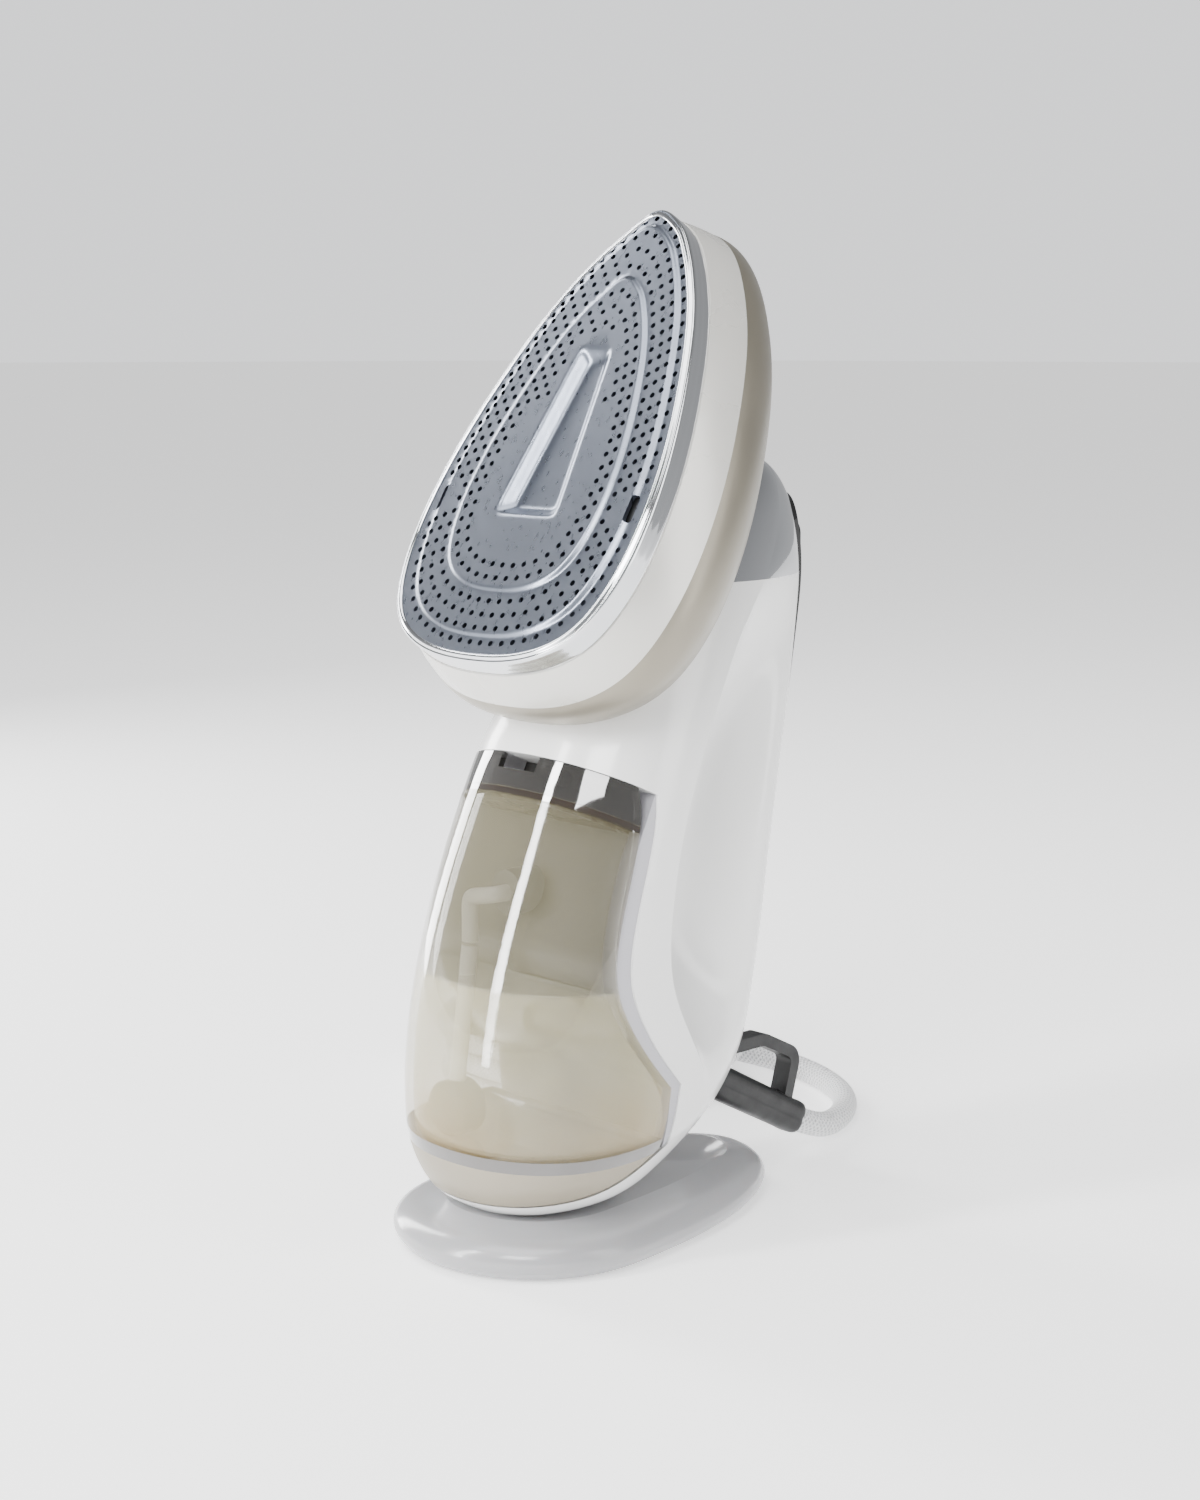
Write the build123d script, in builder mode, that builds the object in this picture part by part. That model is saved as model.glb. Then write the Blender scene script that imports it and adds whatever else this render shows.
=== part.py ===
"""Handheld garment steamer on its resting stand.

+Z is up, the floor is z = 0 and the model is symmetric about x = 0. The pressing face and the
water tank look towards -Y, the handle is on the +Y side. The origin is on the floor, under the
middle of the body. All sizes are in millimetres.
"""
import os
from math import atan, cos, pi, radians, sin, tan

from build123d import *

os.makedirs("parts", exist_ok=True)

# ---- fits ---------------------------------------------------------------------------------
GAP = 0.3              # free gap between pieces that slide or are only laid together
FIT = 0.05             # radial gap of a running fit
SEAM = 0.15            # gap all round a cover in its window
WALL = 2.4             # wall of the white housing
TANK_WALL = 2.0        # wall of the clear tank

# ---- body ---------------------------------------------------------------------------------
# Horizontal sections of the body: height, front y, rear y, half width, y of the ridge beside the
# finger hollow, and how far the hollow is sunk there, from 0 (none) to 1 (down to the web).
BODY_STATIONS = (
    (12.5, -45.0, -14.0, 16.0, -18.0, 0.0),
    (15.0, -49.5, -4.0, 24.0, -16.0, 0.0),
    (19.0, -53.0, 9.0, 30.0, -8.0, 0.0),
    (25.0, -55.0, 26.0, 33.6, 2.0, 0.0),
    (33.0, -56.0, 40.5, 35.6, 10.0, 0.0),
    (44.0, -55.8, 49.5, 36.5, 9.0, 0.06),
    (57.0, -54.4, 53.6, 36.7, 1.0, 0.40),
    (74.0, -51.0, 57.0, 36.6, -8.0, 0.90),
    (94.0, -45.0, 60.0, 36.3, -8.2, 1.0),
    (114.0, -37.2, 63.0, 35.4, -4.0, 1.0),
    (132.0, -29.0, 66.0, 33.8, 3.0, 0.95),
    (148.0, -19.0, 69.0, 31.2, 12.0, 0.70),
    (162.0, -8.0, 71.5, 27.8, 25.0, 0.30),
    (176.0, 6.0, 73.0, 23.5, 34.0, 0.0),
    (190.0, 22.0, 71.0, 18.5, 42.0, 0.0),
    (201.0, 38.0, 66.0, 12.5, 48.0, 0.0),
    (206.0, 46.0, 61.0, 7.0, 52.0, 0.0),
)
BODY_LOW = BODY_STATIONS[0][0]
COLLAR_Z = 175.0       # height where the white housing ends and the chrome collar begins
BLUNT = 30.0           # from the front of a section back to its widest place
FRONT_POWER = 2.15     # roundness of the front of a section (2 is an ellipse)
REAR_POWER = 1.75      # roundness of its rear
WEB_HALF = 11.0        # half thickness of the web between the two finger hollows

# ---- head ---------------------------------------------------------------------------------
LEAN = radians(31.5)   # the pressing face leans back by this much
FACE_Y = -14.7         # middle of the pressing face
FACE_Z = 211.5
FACE_OUTLINE = (       # right half of the face, from the tip to the heel: half width, height
    (0.0, 72.0), (8.0, 67.8), (18.0, 56.5), (27.0, 41.0), (34.2, 22.0), (39.4, 2.0),
    (41.8, -18.0), (40.6, -36.0), (33.5, -52.0), (19.0, -60.0), (0.0, -62.0),
)
HEAD_STATIONS = (      # depth behind the face, growth of the outline, its scale about HEAD_MIDDLE
    (6.5, 1.2, 1.0), (12.0, 3.2, 1.0), (17.8, 4.7, 1.0), (28.5, 5.2, 0.985),
    (37.0, 3.0, 0.915), (43.5, 1.0, 0.80), (48.0, 0.0, 0.60),
)
HEAD_MIDDLE = -6.0     # height on the face about which the bowl closes
SHIELD_AT = 21.5       # depth of the mica sheet behind the boiler
HEAD_WALL = 2.2

# ---- tank bay -----------------------------------------------------------------------------
SEAM_Z = 117.2         # height of the sloping tank top where it would cross y = 0
SEAM_SLOPE = 0.53      # fall of the tank top per millimetre towards the rear
BAY_EDGE = ((-16.5, 104.6), (-22.2, 87.0), (-23.3, 75.5), (-19.2, 64.5), (-11.6, 54.0), (-2.6, 44.8))
BAY_CORNER_Y = -11.6   # y of the bay's upper rear corner
BAY_HEEL = (-5.4, 28.5)
BAY_RIM = ((-16.0, 25.4), (-31.0, 20.2), (-46.0, 17.4), (-70.0, 16.6))
BAND = 4.4             # width of the grey band between housing and tank
BAND_SINK = 0.7        # how far the band lies below the housing's surface
TANK_SPLIT = 28.0      # level where the clear tank meets its taupe base
FRONT = 90.0           # how far cutting shapes reach outside the body
SEAM_NORMAL = (0, sin(atan(SEAM_SLOPE)), cos(atan(SEAM_SLOPE)))
ROOF_BELOW = 10.0      # how far the tank's roof lies below the seam
ROOF_THICK = 2.0

# ---- grip cover, control panel and buttons ------------------------------------------------
COVER_Y = 30.0         # the openings in the back are cut from these depths
PANEL_Y = 46.0
COVER_HALF = 10.0
COVER_LOW = 52.0
COVER_HIGH = 128.0
COVER_ROUND = 6.0
PANEL_HALF = 11.0
PANEL_LOW = 133.0
PANEL_HIGH = 197.0
PANEL_ROUND = 8.0
PANEL_PROUD = 1.0      # how far the panel stands out of the grip
STEAM_BUTTON_Z = 180.0
STEAM_BUTTON = (11.0, 20.0)
STEAM_TRAVEL = 2.0
POWER_BUTTON_Z = 159.0
POWER_RADIUS = 4.0
POWER_TRAVEL = 1.0
LENS_Z = 146.0
LENS_RADIUS = 1.6
BUTTON_ROOT = 62.0     # y of the buttons' inner ends
BOARD_Y = 52.0
BOARD = (16.0, 1.6, 60.0)
BOARD_Z = 166.0

# ---- boiler and sole ----------------------------------------------------------------------
SKIN = 1.2             # perforated steel sheet
SKIN_INSET = 4.0
STEP_OUTER = 1.2       # the sheet rises in two steps towards its middle
STEP_INNER = 2.6
SLOT = (2.3, 7.5)
SLOT_AT = (34.0, -16.0)
PLATE_DEPTH = 10.0     # thickness of the cast boiler plate
PLATE_INSET = 6.0
ELEMENT_RADIUS = 3.2
SCREWS = ((26.0, 0.0), (-26.0, 0.0), (26.0, -36.0), (-26.0, -36.0))
RIM_STATIONS = ((0.3, -1.8), (1.4, -0.4), (3.0, 0.4), (5.0, 0.7), (6.5, 0.6))
NECK_AT = -12.0        # middle of the opening in the bowl's back
NECK_RADIUS = 11.0

# ---- tank fittings ------------------------------------------------------------------------
VALVE_Z = 96.0
VALVE_RADIUS = 6.0
VALVE_Y = -34.0        # front of the valve
PROBE_RADIUS = 2.5
HOSE_RADIUS = 2.2
HOSE_TOP = (-10.0, -38.0, 82.0)
HOSE_LOW = (-10.0, -43.0, 45.0)
HOSE_GAP = 1.2
FILTER_RADIUS = 7.5
FILTER_LONG = 9.0
LATCH = (12.0, 6.0)
LATCH_Y = -18.5
LATCH_DROP = 3.5       # how far the latch hangs into the tank's top

# ---- pump ---------------------------------------------------------------------------------
PUMP_Y = 9.5
PUMP_LOW = 27.0
PUMP_LONG = 26.0
PUMP_RADIUS = 10.0
PUMP_BORE = 3.5
PLUNGER_TRAVEL = 3.0

# ---- stand --------------------------------------------------------------------------------
STAND_FRONT = -62.0
STAND_REAR = 57.5
STAND_HALF = 38.0
STAND_WIDEST = -26.0
STAND_STATIONS = ((0.6, 3.0), (3.0, 0.6), (5.6, 0.0), (8.2, 1.4), (10.4, 6.0), (11.8, 12.0), (BODY_LOW, 19.0))
PAD_INSET = 7.0
PAD_THICK = 1.6
SOCKET_WIDE = 18.0     # locating boss of the stand in the body's socket
SOCKET_LONG = 16.0
SOCKET_DEPTH = 4.0
SOCKET_Y = -29.0
NOTCH_Y = 32.0         # thumb notch near the stand's rear
NOTCH_RADIUS = 18.0
NOTCH_DEPTH = 6.5
STAND_HOLLOW = 5.0

# ---- cord ---------------------------------------------------------------------------------
CORD_DIAMETER = 7.5
RELIEF_START = (0.0, 47.0, 28.2)
RELIEF_END = (0.0, 78.5, 11.4)
RELIEF_RADIUS = 5.4
RELIEF_INSIDE = 19.0   # length of the sleeve before RELIEF_START, mostly inside the body
LOOP_ROUTE = ((43.0, 38.0), (64.0, 38.0), (78.0, 31.0), (72.5, 12.0))
LOOP_THICK = 3.6
LOOP_WIDE = 6.0
CORD_ROUTE = (         # from the strain relief down to the floor and round to the coil
    RELIEF_END, (0.0, 91.0, 4.6), (-4.5, 108.0, 3.8), (-17.5, 125.0, 3.8),
    (-38.0, 136.0, 3.8), (-60.0, 140.5, 3.8), (-80.0, 139.2, 3.8),
)
COIL_MIDDLE = (-98.0, 90.0)
COIL_RADIUS = 41.0     # middle of the turns
COIL_WIDE = 21.7
COIL_HIGH = 22.5
COIL_PLANE = Plane(origin=(*COIL_MIDDLE, 0), x_dir=(1, 0, 0), z_dir=(0, -1, 0))
COIL_AXIS = Axis((*COIL_MIDDLE, 0), (0, 0, 1))
COIL_ROUND = 3.5
TIE = 0.9              # thickness of the tie round the coil
TIE_ARC = 20.0         # degrees of the coil that it covers
TIE_FROM = radians(180 - TIE_ARC / 2)
TIE_PLANE = Plane(
    origin=(*COIL_MIDDLE, 0),
    x_dir=(cos(TIE_FROM), sin(TIE_FROM), 0),
    z_dir=(sin(TIE_FROM), -cos(TIE_FROM), 0),
)
PLUG = (36.0, 26.0, 15.0)
PLUG_SHIFT = 12.0      # from the middle of the coil towards +X
PIN_RADIUS = 2.4
PIN_LONG = 19.0
PIN_APART = 19.0


def mirrored(points):
    """Points of a right half, followed by their mirror images back to the start."""
    return list(points) + [(-x, y) for x, y in reversed(points) if abs(x) > 1e-6]


def body_section(front, rear, half_width, ridge, sunk, inset):
    """The two halves of one section: its front up to the ridges, and its rear with the hollows."""
    front, rear, half_width = front + inset, rear - inset, half_width - inset
    widest = min(front + BLUNT, (front + rear) / 2)

    def egg(y):
        """Half width at y without any hollow: two quarter superellipses."""
        reach, power = (widest - front, FRONT_POWER) if y < widest else (rear - widest, REAR_POWER)
        share = min(abs(y - widest) / reach, 1.0)
        return half_width * (1 - share**power) ** (1 / power)

    ridge = max(ridge, widest + 4)
    nose = [widest - (widest - front) * sin(radians(angle)) for angle in (0, 28, 50, 70)]
    front_half = [(egg(y), y) for y in [ridge, (ridge + widest) / 2] + nose]
    front_half += [(0, front)] + [(-x, y) for x, y in reversed(front_half)]
    span = rear - ridge
    web = WEB_HALF - inset
    hollow = [(0.12, 0.72), (0.28, 1.0), (0.48, 0.86)]
    rear_half = [(egg(ridge), ridge)]
    for share, depth in hollow:
        y = ridge + share * span
        rear_half.append((egg(y) + (web - egg(y)) * sunk * depth, y))
    for share in (0.70, 0.86, 0.96):
        y = ridge + share * span
        rear_half.append((egg(y), y))
    rear_half += [(0, rear)] + [(-x, y) for x, y in reversed(rear_half)]
    return front_half, rear_half


def body_form(inset):
    """Solid of the whole body, drawn in by inset on every side."""
    with BuildPart() as form:
        for height, front, rear, half_width, ridge, sunk in BODY_STATIONS:
            low = max(0.0, 1 - (height - BODY_STATIONS[0][0]) / 24)
            high = max(0.0, 1 - (BODY_STATIONS[-1][0] - height) / 30)
            front_half, rear_half = body_section(front, rear, half_width, ridge, sunk, inset)
            with BuildSketch(Plane.XY.offset(height + inset * (low - high))):
                with BuildLine():
                    Spline(*front_half)
                    Spline(*reversed(rear_half))
                make_face()
        loft()
    return form.part


def head_plane(depth):
    """Plane parallel to the pressing face and depth behind it, its y axis towards the tip."""
    origin = (0, FACE_Y + depth * cos(LEAN), FACE_Z - depth * sin(LEAN))
    return Plane(origin=origin, x_dir=(1, 0, 0), z_dir=(0, -cos(LEAN), sin(LEAN)))


def face_curve(grow, scale=1.0):
    """Closed outline of the face, each point moved outwards by grow, then scaled."""
    points = mirrored(FACE_OUTLINE)
    moved = []
    for i, (x, y) in enumerate(points):
        before, after = points[i - 1], points[(i + 1) % len(points)]
        run = Vector(after[0] - before[0], after[1] - before[1]).normalized()
        x, y = x - run.Y * grow, y + run.X * grow
        moved.append((x * scale, HEAD_MIDDLE + (y - HEAD_MIDDLE) * scale))
    return moved


def head_form(grow, first=0, last=None, sink=0.0):
    """Solid of the head behind the face, grown by grow; sink brings its back forwards."""
    stations = HEAD_STATIONS[first:last]
    with BuildPart() as form:
        for i, (depth, out, scale) in enumerate(stations):
            with BuildSketch(head_plane(depth - sink * i / (len(stations) - 1))):
                with BuildLine():
                    Spline(*face_curve(out + grow, scale), periodic=True)
                make_face()
        loft()
    return form.part


def bay_region(side, top, bottom):
    """Space in front of the bay's edge: moved forwards by side, down by top and up by bottom."""
    corner_y = BAY_CORNER_Y - side
    roof = SEAM_Z - top
    corner = (corner_y, roof - SEAM_SLOPE * corner_y)
    edge = [(y - side, z) for y, z in BAY_EDGE]
    heel = (BAY_HEEL[0] - side, BAY_HEEL[1] + bottom)
    rim = [(y - side * 0.5, z + bottom) for y, z in BAY_RIM]
    with BuildPart() as region:
        with BuildSketch(Plane.YZ):
            with BuildLine():
                Spline(corner, *edge)
                Line(edge[-1], heel)
                Spline(heel, *rim)
                Polyline(rim[-1], (-FRONT, rim[-1][1]), (-FRONT, roof + SEAM_SLOPE * FRONT), corner)
            make_face()
        extrude(amount=FRONT, both=True)
    return region.part


def seam_layer(below, thick):
    """Slab parallel to the tank's sloping top, starting below it by below."""
    slope = cos(atan(SEAM_SLOPE))
    plane = Plane(origin=(0, 0, SEAM_Z - below / slope), x_dir=(1, 0, 0), z_dir=SEAM_NORMAL)
    with BuildPart() as slab:
        with BuildSketch(plane):
            Rectangle(2 * FRONT, 2 * FRONT)
        extrude(amount=-thick)
    return slab.part


def rear_window(start, half, low, high, round_end):
    """Rounded opening in the back of the grip, cut backwards from y = start."""
    with BuildPart() as window:
        with BuildSketch(Plane.XZ.offset(-start)):
            with Locations((0, (low + high) / 2)):
                RectangleRounded(2 * half, high - low, round_end)
        extrude(amount=-60)
    return window.part


def level_box(low, high):
    """Everything between two heights."""
    with BuildPart() as block:
        with Locations((0, 0, (low + high) / 2)):
            Box(3 * FRONT, 3 * FRONT, high - low)
    return block.part


BODY_OUTER = body_form(0)
BODY_INNER = body_form(WALL)
BODY_SUNK = body_form(BAND_SINK)
BODY_PROUD = body_form(-PANEL_PROUD)
TANK_INNER = body_form(TANK_WALL)
HEAD_OUTER = head_form(0, last=3) + head_form(0, first=2)
BAY = bay_region(0, 0, 0)
BAY_BULKHEAD = BODY_INNER & (bay_region(-WALL, -WALL, -WALL) - BAY)


def along(start, end):
    """Plane at start, facing along the line to end, its x axis level."""
    run = Vector(*end) - Vector(*start)
    return Plane(origin=start, x_dir=(1, 0, 0), z_dir=(run.X, run.Y, run.Z))


RELIEF_PLANE = along(RELIEF_START, RELIEF_END)
RELIEF_LENGTH = (Vector(*RELIEF_END) - Vector(*RELIEF_START)).length
BAY_WALL_Y = -20.0     # y of the bay's rear wall at the height of the valve
VALVE_PLANE = Plane(origin=(0, BAY_WALL_Y, VALVE_Z), x_dir=(1, 0, 0), z_dir=(0, 1, 0))
LATCH_PLANE = Plane(
    origin=(0, LATCH_Y, SEAM_Z - SEAM_SLOPE * LATCH_Y), x_dir=(1, 0, 0), z_dir=SEAM_NORMAL
)

# ---- main housing: white shell with the finger hollows, the neck and the tank bay ---------
with BuildPart() as main_housing:
    add(BODY_OUTER)
    add(BODY_INNER, mode=Mode.SUBTRACT)
    add(BAY_BULKHEAD)
    add(BAY, mode=Mode.SUBTRACT)
    add(HEAD_OUTER, mode=Mode.SUBTRACT)
    add(level_box(COLLAR_Z, 260), mode=Mode.SUBTRACT)
    add(rear_window(COVER_Y, COVER_HALF, COVER_LOW, COVER_HIGH, COVER_ROUND), mode=Mode.SUBTRACT)
    add(rear_window(PANEL_Y, PANEL_HALF, PANEL_LOW, PANEL_HIGH, PANEL_ROUND), mode=Mode.SUBTRACT)
    with Locations((0, SOCKET_Y, BODY_LOW + SOCKET_DEPTH / 2)):
        Box(SOCKET_WIDE + 2 * GAP, SOCKET_LONG + 2 * GAP, SOCKET_DEPTH + 2 * GAP, mode=Mode.SUBTRACT)
    with BuildSketch(RELIEF_PLANE):
        Circle(RELIEF_RADIUS)
    extrude(amount=RELIEF_INSIDE, both=True, mode=Mode.SUBTRACT)
    with Locations((0, LOOP_ROUTE[0][0] + 5, LOOP_ROUTE[0][1])):
        Box(LOOP_WIDE, 12, LOOP_THICK, mode=Mode.SUBTRACT)
    with BuildSketch(VALVE_PLANE):
        Circle(PROBE_RADIUS)
    extrude(amount=12, both=True, mode=Mode.SUBTRACT)
    with BuildSketch(LATCH_PLANE):
        Rectangle(LATCH[0] + 2 * GAP, LATCH[1] + 2 * GAP)
    extrude(amount=12, both=True, mode=Mode.SUBTRACT)

# ---- chrome collar round the top of the neck ----------------------------------------------
with BuildPart() as neck_collar:
    add(BODY_OUTER)
    add(BODY_INNER, mode=Mode.SUBTRACT)
    add(level_box(COLLAR_Z, 260), mode=Mode.INTERSECT)
    add(HEAD_OUTER, mode=Mode.SUBTRACT)
    add(rear_window(PANEL_Y, PANEL_HALF, PANEL_LOW, PANEL_HIGH, PANEL_ROUND), mode=Mode.SUBTRACT)

# ---- rear grip cover and control panel, which close the two windows ------------------------
with BuildPart() as rear_grip_cover:
    add(BODY_OUTER)
    add(BODY_INNER, mode=Mode.SUBTRACT)
    add(
        rear_window(COVER_Y, COVER_HALF - SEAM, COVER_LOW + SEAM, COVER_HIGH - SEAM, COVER_ROUND - SEAM),
        mode=Mode.INTERSECT,
    )

with BuildPart() as control_panel:
    add(BODY_PROUD)
    add(BODY_INNER, mode=Mode.SUBTRACT)
    add(
        rear_window(PANEL_Y, PANEL_HALF - SEAM, PANEL_LOW + SEAM, PANEL_HIGH - SEAM, PANEL_ROUND - SEAM),
        mode=Mode.INTERSECT,
    )
    add(HEAD_OUTER, mode=Mode.SUBTRACT)
    with BuildSketch(Plane.XZ.offset(-BUTTON_ROOT)):
        with Locations((0, STEAM_BUTTON_Z)):
            SlotOverall(STEAM_BUTTON[1] + 2 * GAP, STEAM_BUTTON[0] + 2 * GAP, rotation=90)
        with Locations((0, POWER_BUTTON_Z)):
            Circle(POWER_RADIUS + GAP)
        with Locations((0, LENS_Z)):
            Circle(LENS_RADIUS)
    extrude(amount=-30, mode=Mode.SUBTRACT)

# ---- bay frame: grey lining whose edge shows as a band round the tank ---------------------
BAND_INNER = BAY - bay_region(BAND, -FRONT, -FRONT)
with BuildPart() as bay_frame:
    add(BODY_SUNK)
    add(BAND_INNER, mode=Mode.INTERSECT)
    with BuildSketch(VALVE_PLANE):
        Circle(PROBE_RADIUS)
    extrude(amount=12, both=True, mode=Mode.SUBTRACT)

with BuildPart() as water_probe:
    with BuildSketch(VALVE_PLANE.offset(6)):
        Circle(PROBE_RADIUS)
        Circle(PROBE_RADIUS - 1.2, mode=Mode.SUBTRACT)
    extrude(amount=-(6 + BAND + GAP + TANK_WALL + 2.5))

# ---- tank: clear shell, roof, taupe base, valve, elbow, swinging hose and filter -----------
TANK_SIDE = BAND + GAP
TANK_REGION = bay_region(TANK_SIDE, GAP, GAP)
TANK_CAVITY = TANK_INNER & bay_region(TANK_SIDE + TANK_WALL, -FRONT, GAP + TANK_WALL)
with BuildPart() as tank_body:
    add(BODY_OUTER)
    add(TANK_REGION, mode=Mode.INTERSECT)
    add(level_box(TANK_SPLIT, 200), mode=Mode.INTERSECT)
    add(TANK_CAVITY & level_box(TANK_SPLIT + TANK_WALL, 200), mode=Mode.SUBTRACT)
    with BuildSketch(VALVE_PLANE):
        Circle(PROBE_RADIUS + FIT)
    extrude(amount=-20, mode=Mode.SUBTRACT)
    with BuildSketch(LATCH_PLANE.offset(-LATCH_DROP - 1)):
        Rectangle(LATCH[0] + 2, 24)
    extrude(amount=20, mode=Mode.SUBTRACT)

with BuildPart() as tank_base:
    add(BODY_OUTER)
    add(TANK_REGION, mode=Mode.INTERSECT)
    add(level_box(0, TANK_SPLIT), mode=Mode.INTERSECT)
    add(TANK_CAVITY & level_box(0, TANK_SPLIT - TANK_WALL), mode=Mode.SUBTRACT)

with BuildPart() as tank_roof:
    add(body_form(TANK_WALL + FIT))
    add(bay_region(TANK_SIDE + TANK_WALL + FIT, -FRONT, GAP), mode=Mode.INTERSECT)
    add(seam_layer(ROOF_BELOW, ROOF_THICK), mode=Mode.INTERSECT)

with BuildPart() as tank_valve:
    with BuildSketch(Plane.XZ.offset(-VALVE_Y)):
        with Locations((0, VALVE_Z)):
            Circle(VALVE_RADIUS)
    extrude(amount=-30)
    add(TANK_CAVITY, mode=Mode.INTERSECT)
    with BuildSketch(VALVE_PLANE):
        Circle(PROBE_RADIUS + FIT)
    extrude(amount=-(BAY_WALL_Y - VALVE_Y - 1.0), mode=Mode.SUBTRACT)

with BuildPart() as suction_elbow:
    with BuildLine():
        elbow_path = FilletPolyline(
            (0, VALVE_Y, VALVE_Z),
            (0, HOSE_TOP[1], VALVE_Z),
            (HOSE_TOP[0], HOSE_TOP[1], VALVE_Z - 2),
            HOSE_TOP,
            radius=2.3,
        )
    with BuildSketch(Plane(origin=elbow_path @ 0, z_dir=elbow_path % 0)):
        Circle(HOSE_RADIUS)
    sweep()

HOSE_PLANE = along(HOSE_TOP, HOSE_LOW)
HOSE_LONG = (Vector(*HOSE_LOW) - Vector(*HOSE_TOP)).length
with BuildPart() as suction_hose:
    with BuildSketch(HOSE_PLANE.offset(HOSE_GAP)):
        Circle(HOSE_RADIUS)
    extrude(amount=HOSE_LONG - HOSE_GAP)

with BuildPart() as intake_filter:
    with BuildSketch(Plane.XZ.offset(-HOSE_LOW[1])):
        with Locations((HOSE_LOW[0], HOSE_LOW[2] - FILTER_RADIUS + 0.4)):
            Circle(FILTER_RADIUS)
    extrude(amount=FILTER_LONG / 2, both=True)
    fillet(intake_filter.edges().filter_by(GeomType.CIRCLE), 1.5)
    add(suction_hose.part, mode=Mode.SUBTRACT)

with BuildPart() as tank_latch:
    with BuildSketch(LATCH_PLANE.offset(-LATCH_DROP)):
        Rectangle(*LATCH)
    extrude(amount=LATCH_DROP + 6)
    with BuildSketch(LATCH_PLANE.offset(WALL + GAP)):
        Rectangle(LATCH[0] + 4, LATCH[1] + 4)
    extrude(amount=1.5)

# ---- head: sole, boiler, rim, ring and bowl ------------------------------------------------
def face_slab(grow, near, far, scale=1.0):
    """Solid with the face's outline, moved outwards by grow, between two depths."""
    with BuildPart() as slab:
        with BuildSketch(head_plane(near)):
            with BuildLine():
                Spline(*face_curve(grow, scale), periodic=True)
            make_face()
        extrude(amount=-(far - near))
    return slab.part


with BuildPart() as soleplate:
    add(face_slab(-SKIN_INSET, 0, SKIN))
    add(face_slab(-SKIN_INSET - 1.8, -STEP_OUTER, SKIN))
    add(face_slab(0, -STEP_INNER, SKIN, 0.66))
    with BuildSketch(head_plane(-STEP_INNER)):
        with Locations((SLOT_AT[0], SLOT_AT[1]), (-SLOT_AT[0], SLOT_AT[1])):
            SlotOverall(SLOT[1], SLOT[0], rotation=90)
    extrude(amount=-(SKIN + STEP_INNER), mode=Mode.SUBTRACT)

PLATE_BACK = SKIN + PLATE_DEPTH
with BuildPart() as boiler_plate:
    add(face_slab(-PLATE_INSET, SKIN, PLATE_BACK))

with BuildPart() as heating_element:
    with BuildLine(head_plane(PLATE_BACK + ELEMENT_RADIUS)) as element_path:
        Line((-15, -42), (-15, 14))
        ThreePointArc((-15, 14), (0, 29), (15, 14))
        Line((15, 14), (15, -42))
    with BuildSketch(Plane(origin=element_path.line @ 0, z_dir=element_path.line % 0)):
        Circle(ELEMENT_RADIUS)
    sweep()

with BuildPart() as steam_dome:
    with BuildSketch(head_plane(PLATE_BACK)):
        with Locations((0, -4)):
            RectangleRounded(20, 40, 6)
    extrude(amount=-8)
    fillet(steam_dome.faces().sort_by(Axis.Y)[-1].edges(), 1.5)

with BuildPart() as thermostat:
    with BuildSketch(head_plane(PLATE_BACK)):
        with Locations((0, -38)):
            Circle(7)
    extrude(amount=-6)
    with BuildSketch(head_plane(PLATE_BACK + 6)):
        with Locations((0, -38)):
            Rectangle(18, 5)
    extrude(amount=-1)

with BuildPart() as thermal_fuse:
    with BuildSketch(head_plane(PLATE_BACK)):
        with Locations((0, 42)):
            RectangleRounded(6, 12, 2)
    extrude(amount=-4)

with BuildPart() as boiler_screws:
    with BuildSketch(head_plane(PLATE_BACK)):
        with Locations(*SCREWS):
            Circle(3)
    extrude(amount=-2.2)

with BuildPart() as sole_gasket:
    add(face_slab(-SKIN_INSET, SKIN + 0.2, 6.0))
    add(face_slab(-PLATE_INSET, 0, 8), mode=Mode.SUBTRACT)

with BuildPart() as sole_rim:
    for depth, out in RIM_STATIONS:
        with BuildSketch(head_plane(depth)):
            with BuildLine():
                Spline(*face_curve(out), periodic=True)
            make_face()
    loft()
    add(face_slab(-SKIN_INSET + FIT, -1, 8), mode=Mode.SUBTRACT)

with BuildPart() as head_ring:
    add(head_form(0, last=3))
    add(head_form(-HEAD_WALL, last=3), mode=Mode.SUBTRACT)
    add(face_slab(-SKIN_INSET, 6, 7), mode=Mode.SUBTRACT)

with BuildPart() as heat_shield:
    add(face_slab(-HEAD_WALL - 1.0, SHIELD_AT, SHIELD_AT + 1.0))

with BuildPart() as head_bowl:
    add(head_form(0, first=2))
    add(head_form(-HEAD_WALL, first=2, sink=HEAD_WALL), mode=Mode.SUBTRACT)
    with BuildSketch(head_plane(HEAD_STATIONS[-1][0] + 1)):
        with Locations((0, NECK_AT)):
            Circle(NECK_RADIUS)
    extrude(amount=8, mode=Mode.SUBTRACT)

with BuildPart() as neck_duct:
    with BuildSketch(head_plane(HEAD_STATIONS[-1][0] + 6)):
        with Locations((0, NECK_AT)):
            Circle(NECK_RADIUS)
            Circle(NECK_RADIUS - 1.8, mode=Mode.SUBTRACT)
    extrude(amount=14)

# ---- buttons, lens and board ---------------------------------------------------------------
STEAM_FACE_Y = 74.6
POWER_FACE_Y = 73.0
with BuildPart() as steam_button:
    with BuildSketch(Plane.XZ.offset(-BUTTON_ROOT)):
        with Locations((0, STEAM_BUTTON_Z)):
            SlotOverall(STEAM_BUTTON[1], STEAM_BUTTON[0], rotation=90)
    extrude(amount=-(STEAM_FACE_Y - BUTTON_ROOT))
    fillet(steam_button.faces().sort_by(Axis.Y)[-1].edges(), 1.0)

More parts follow.
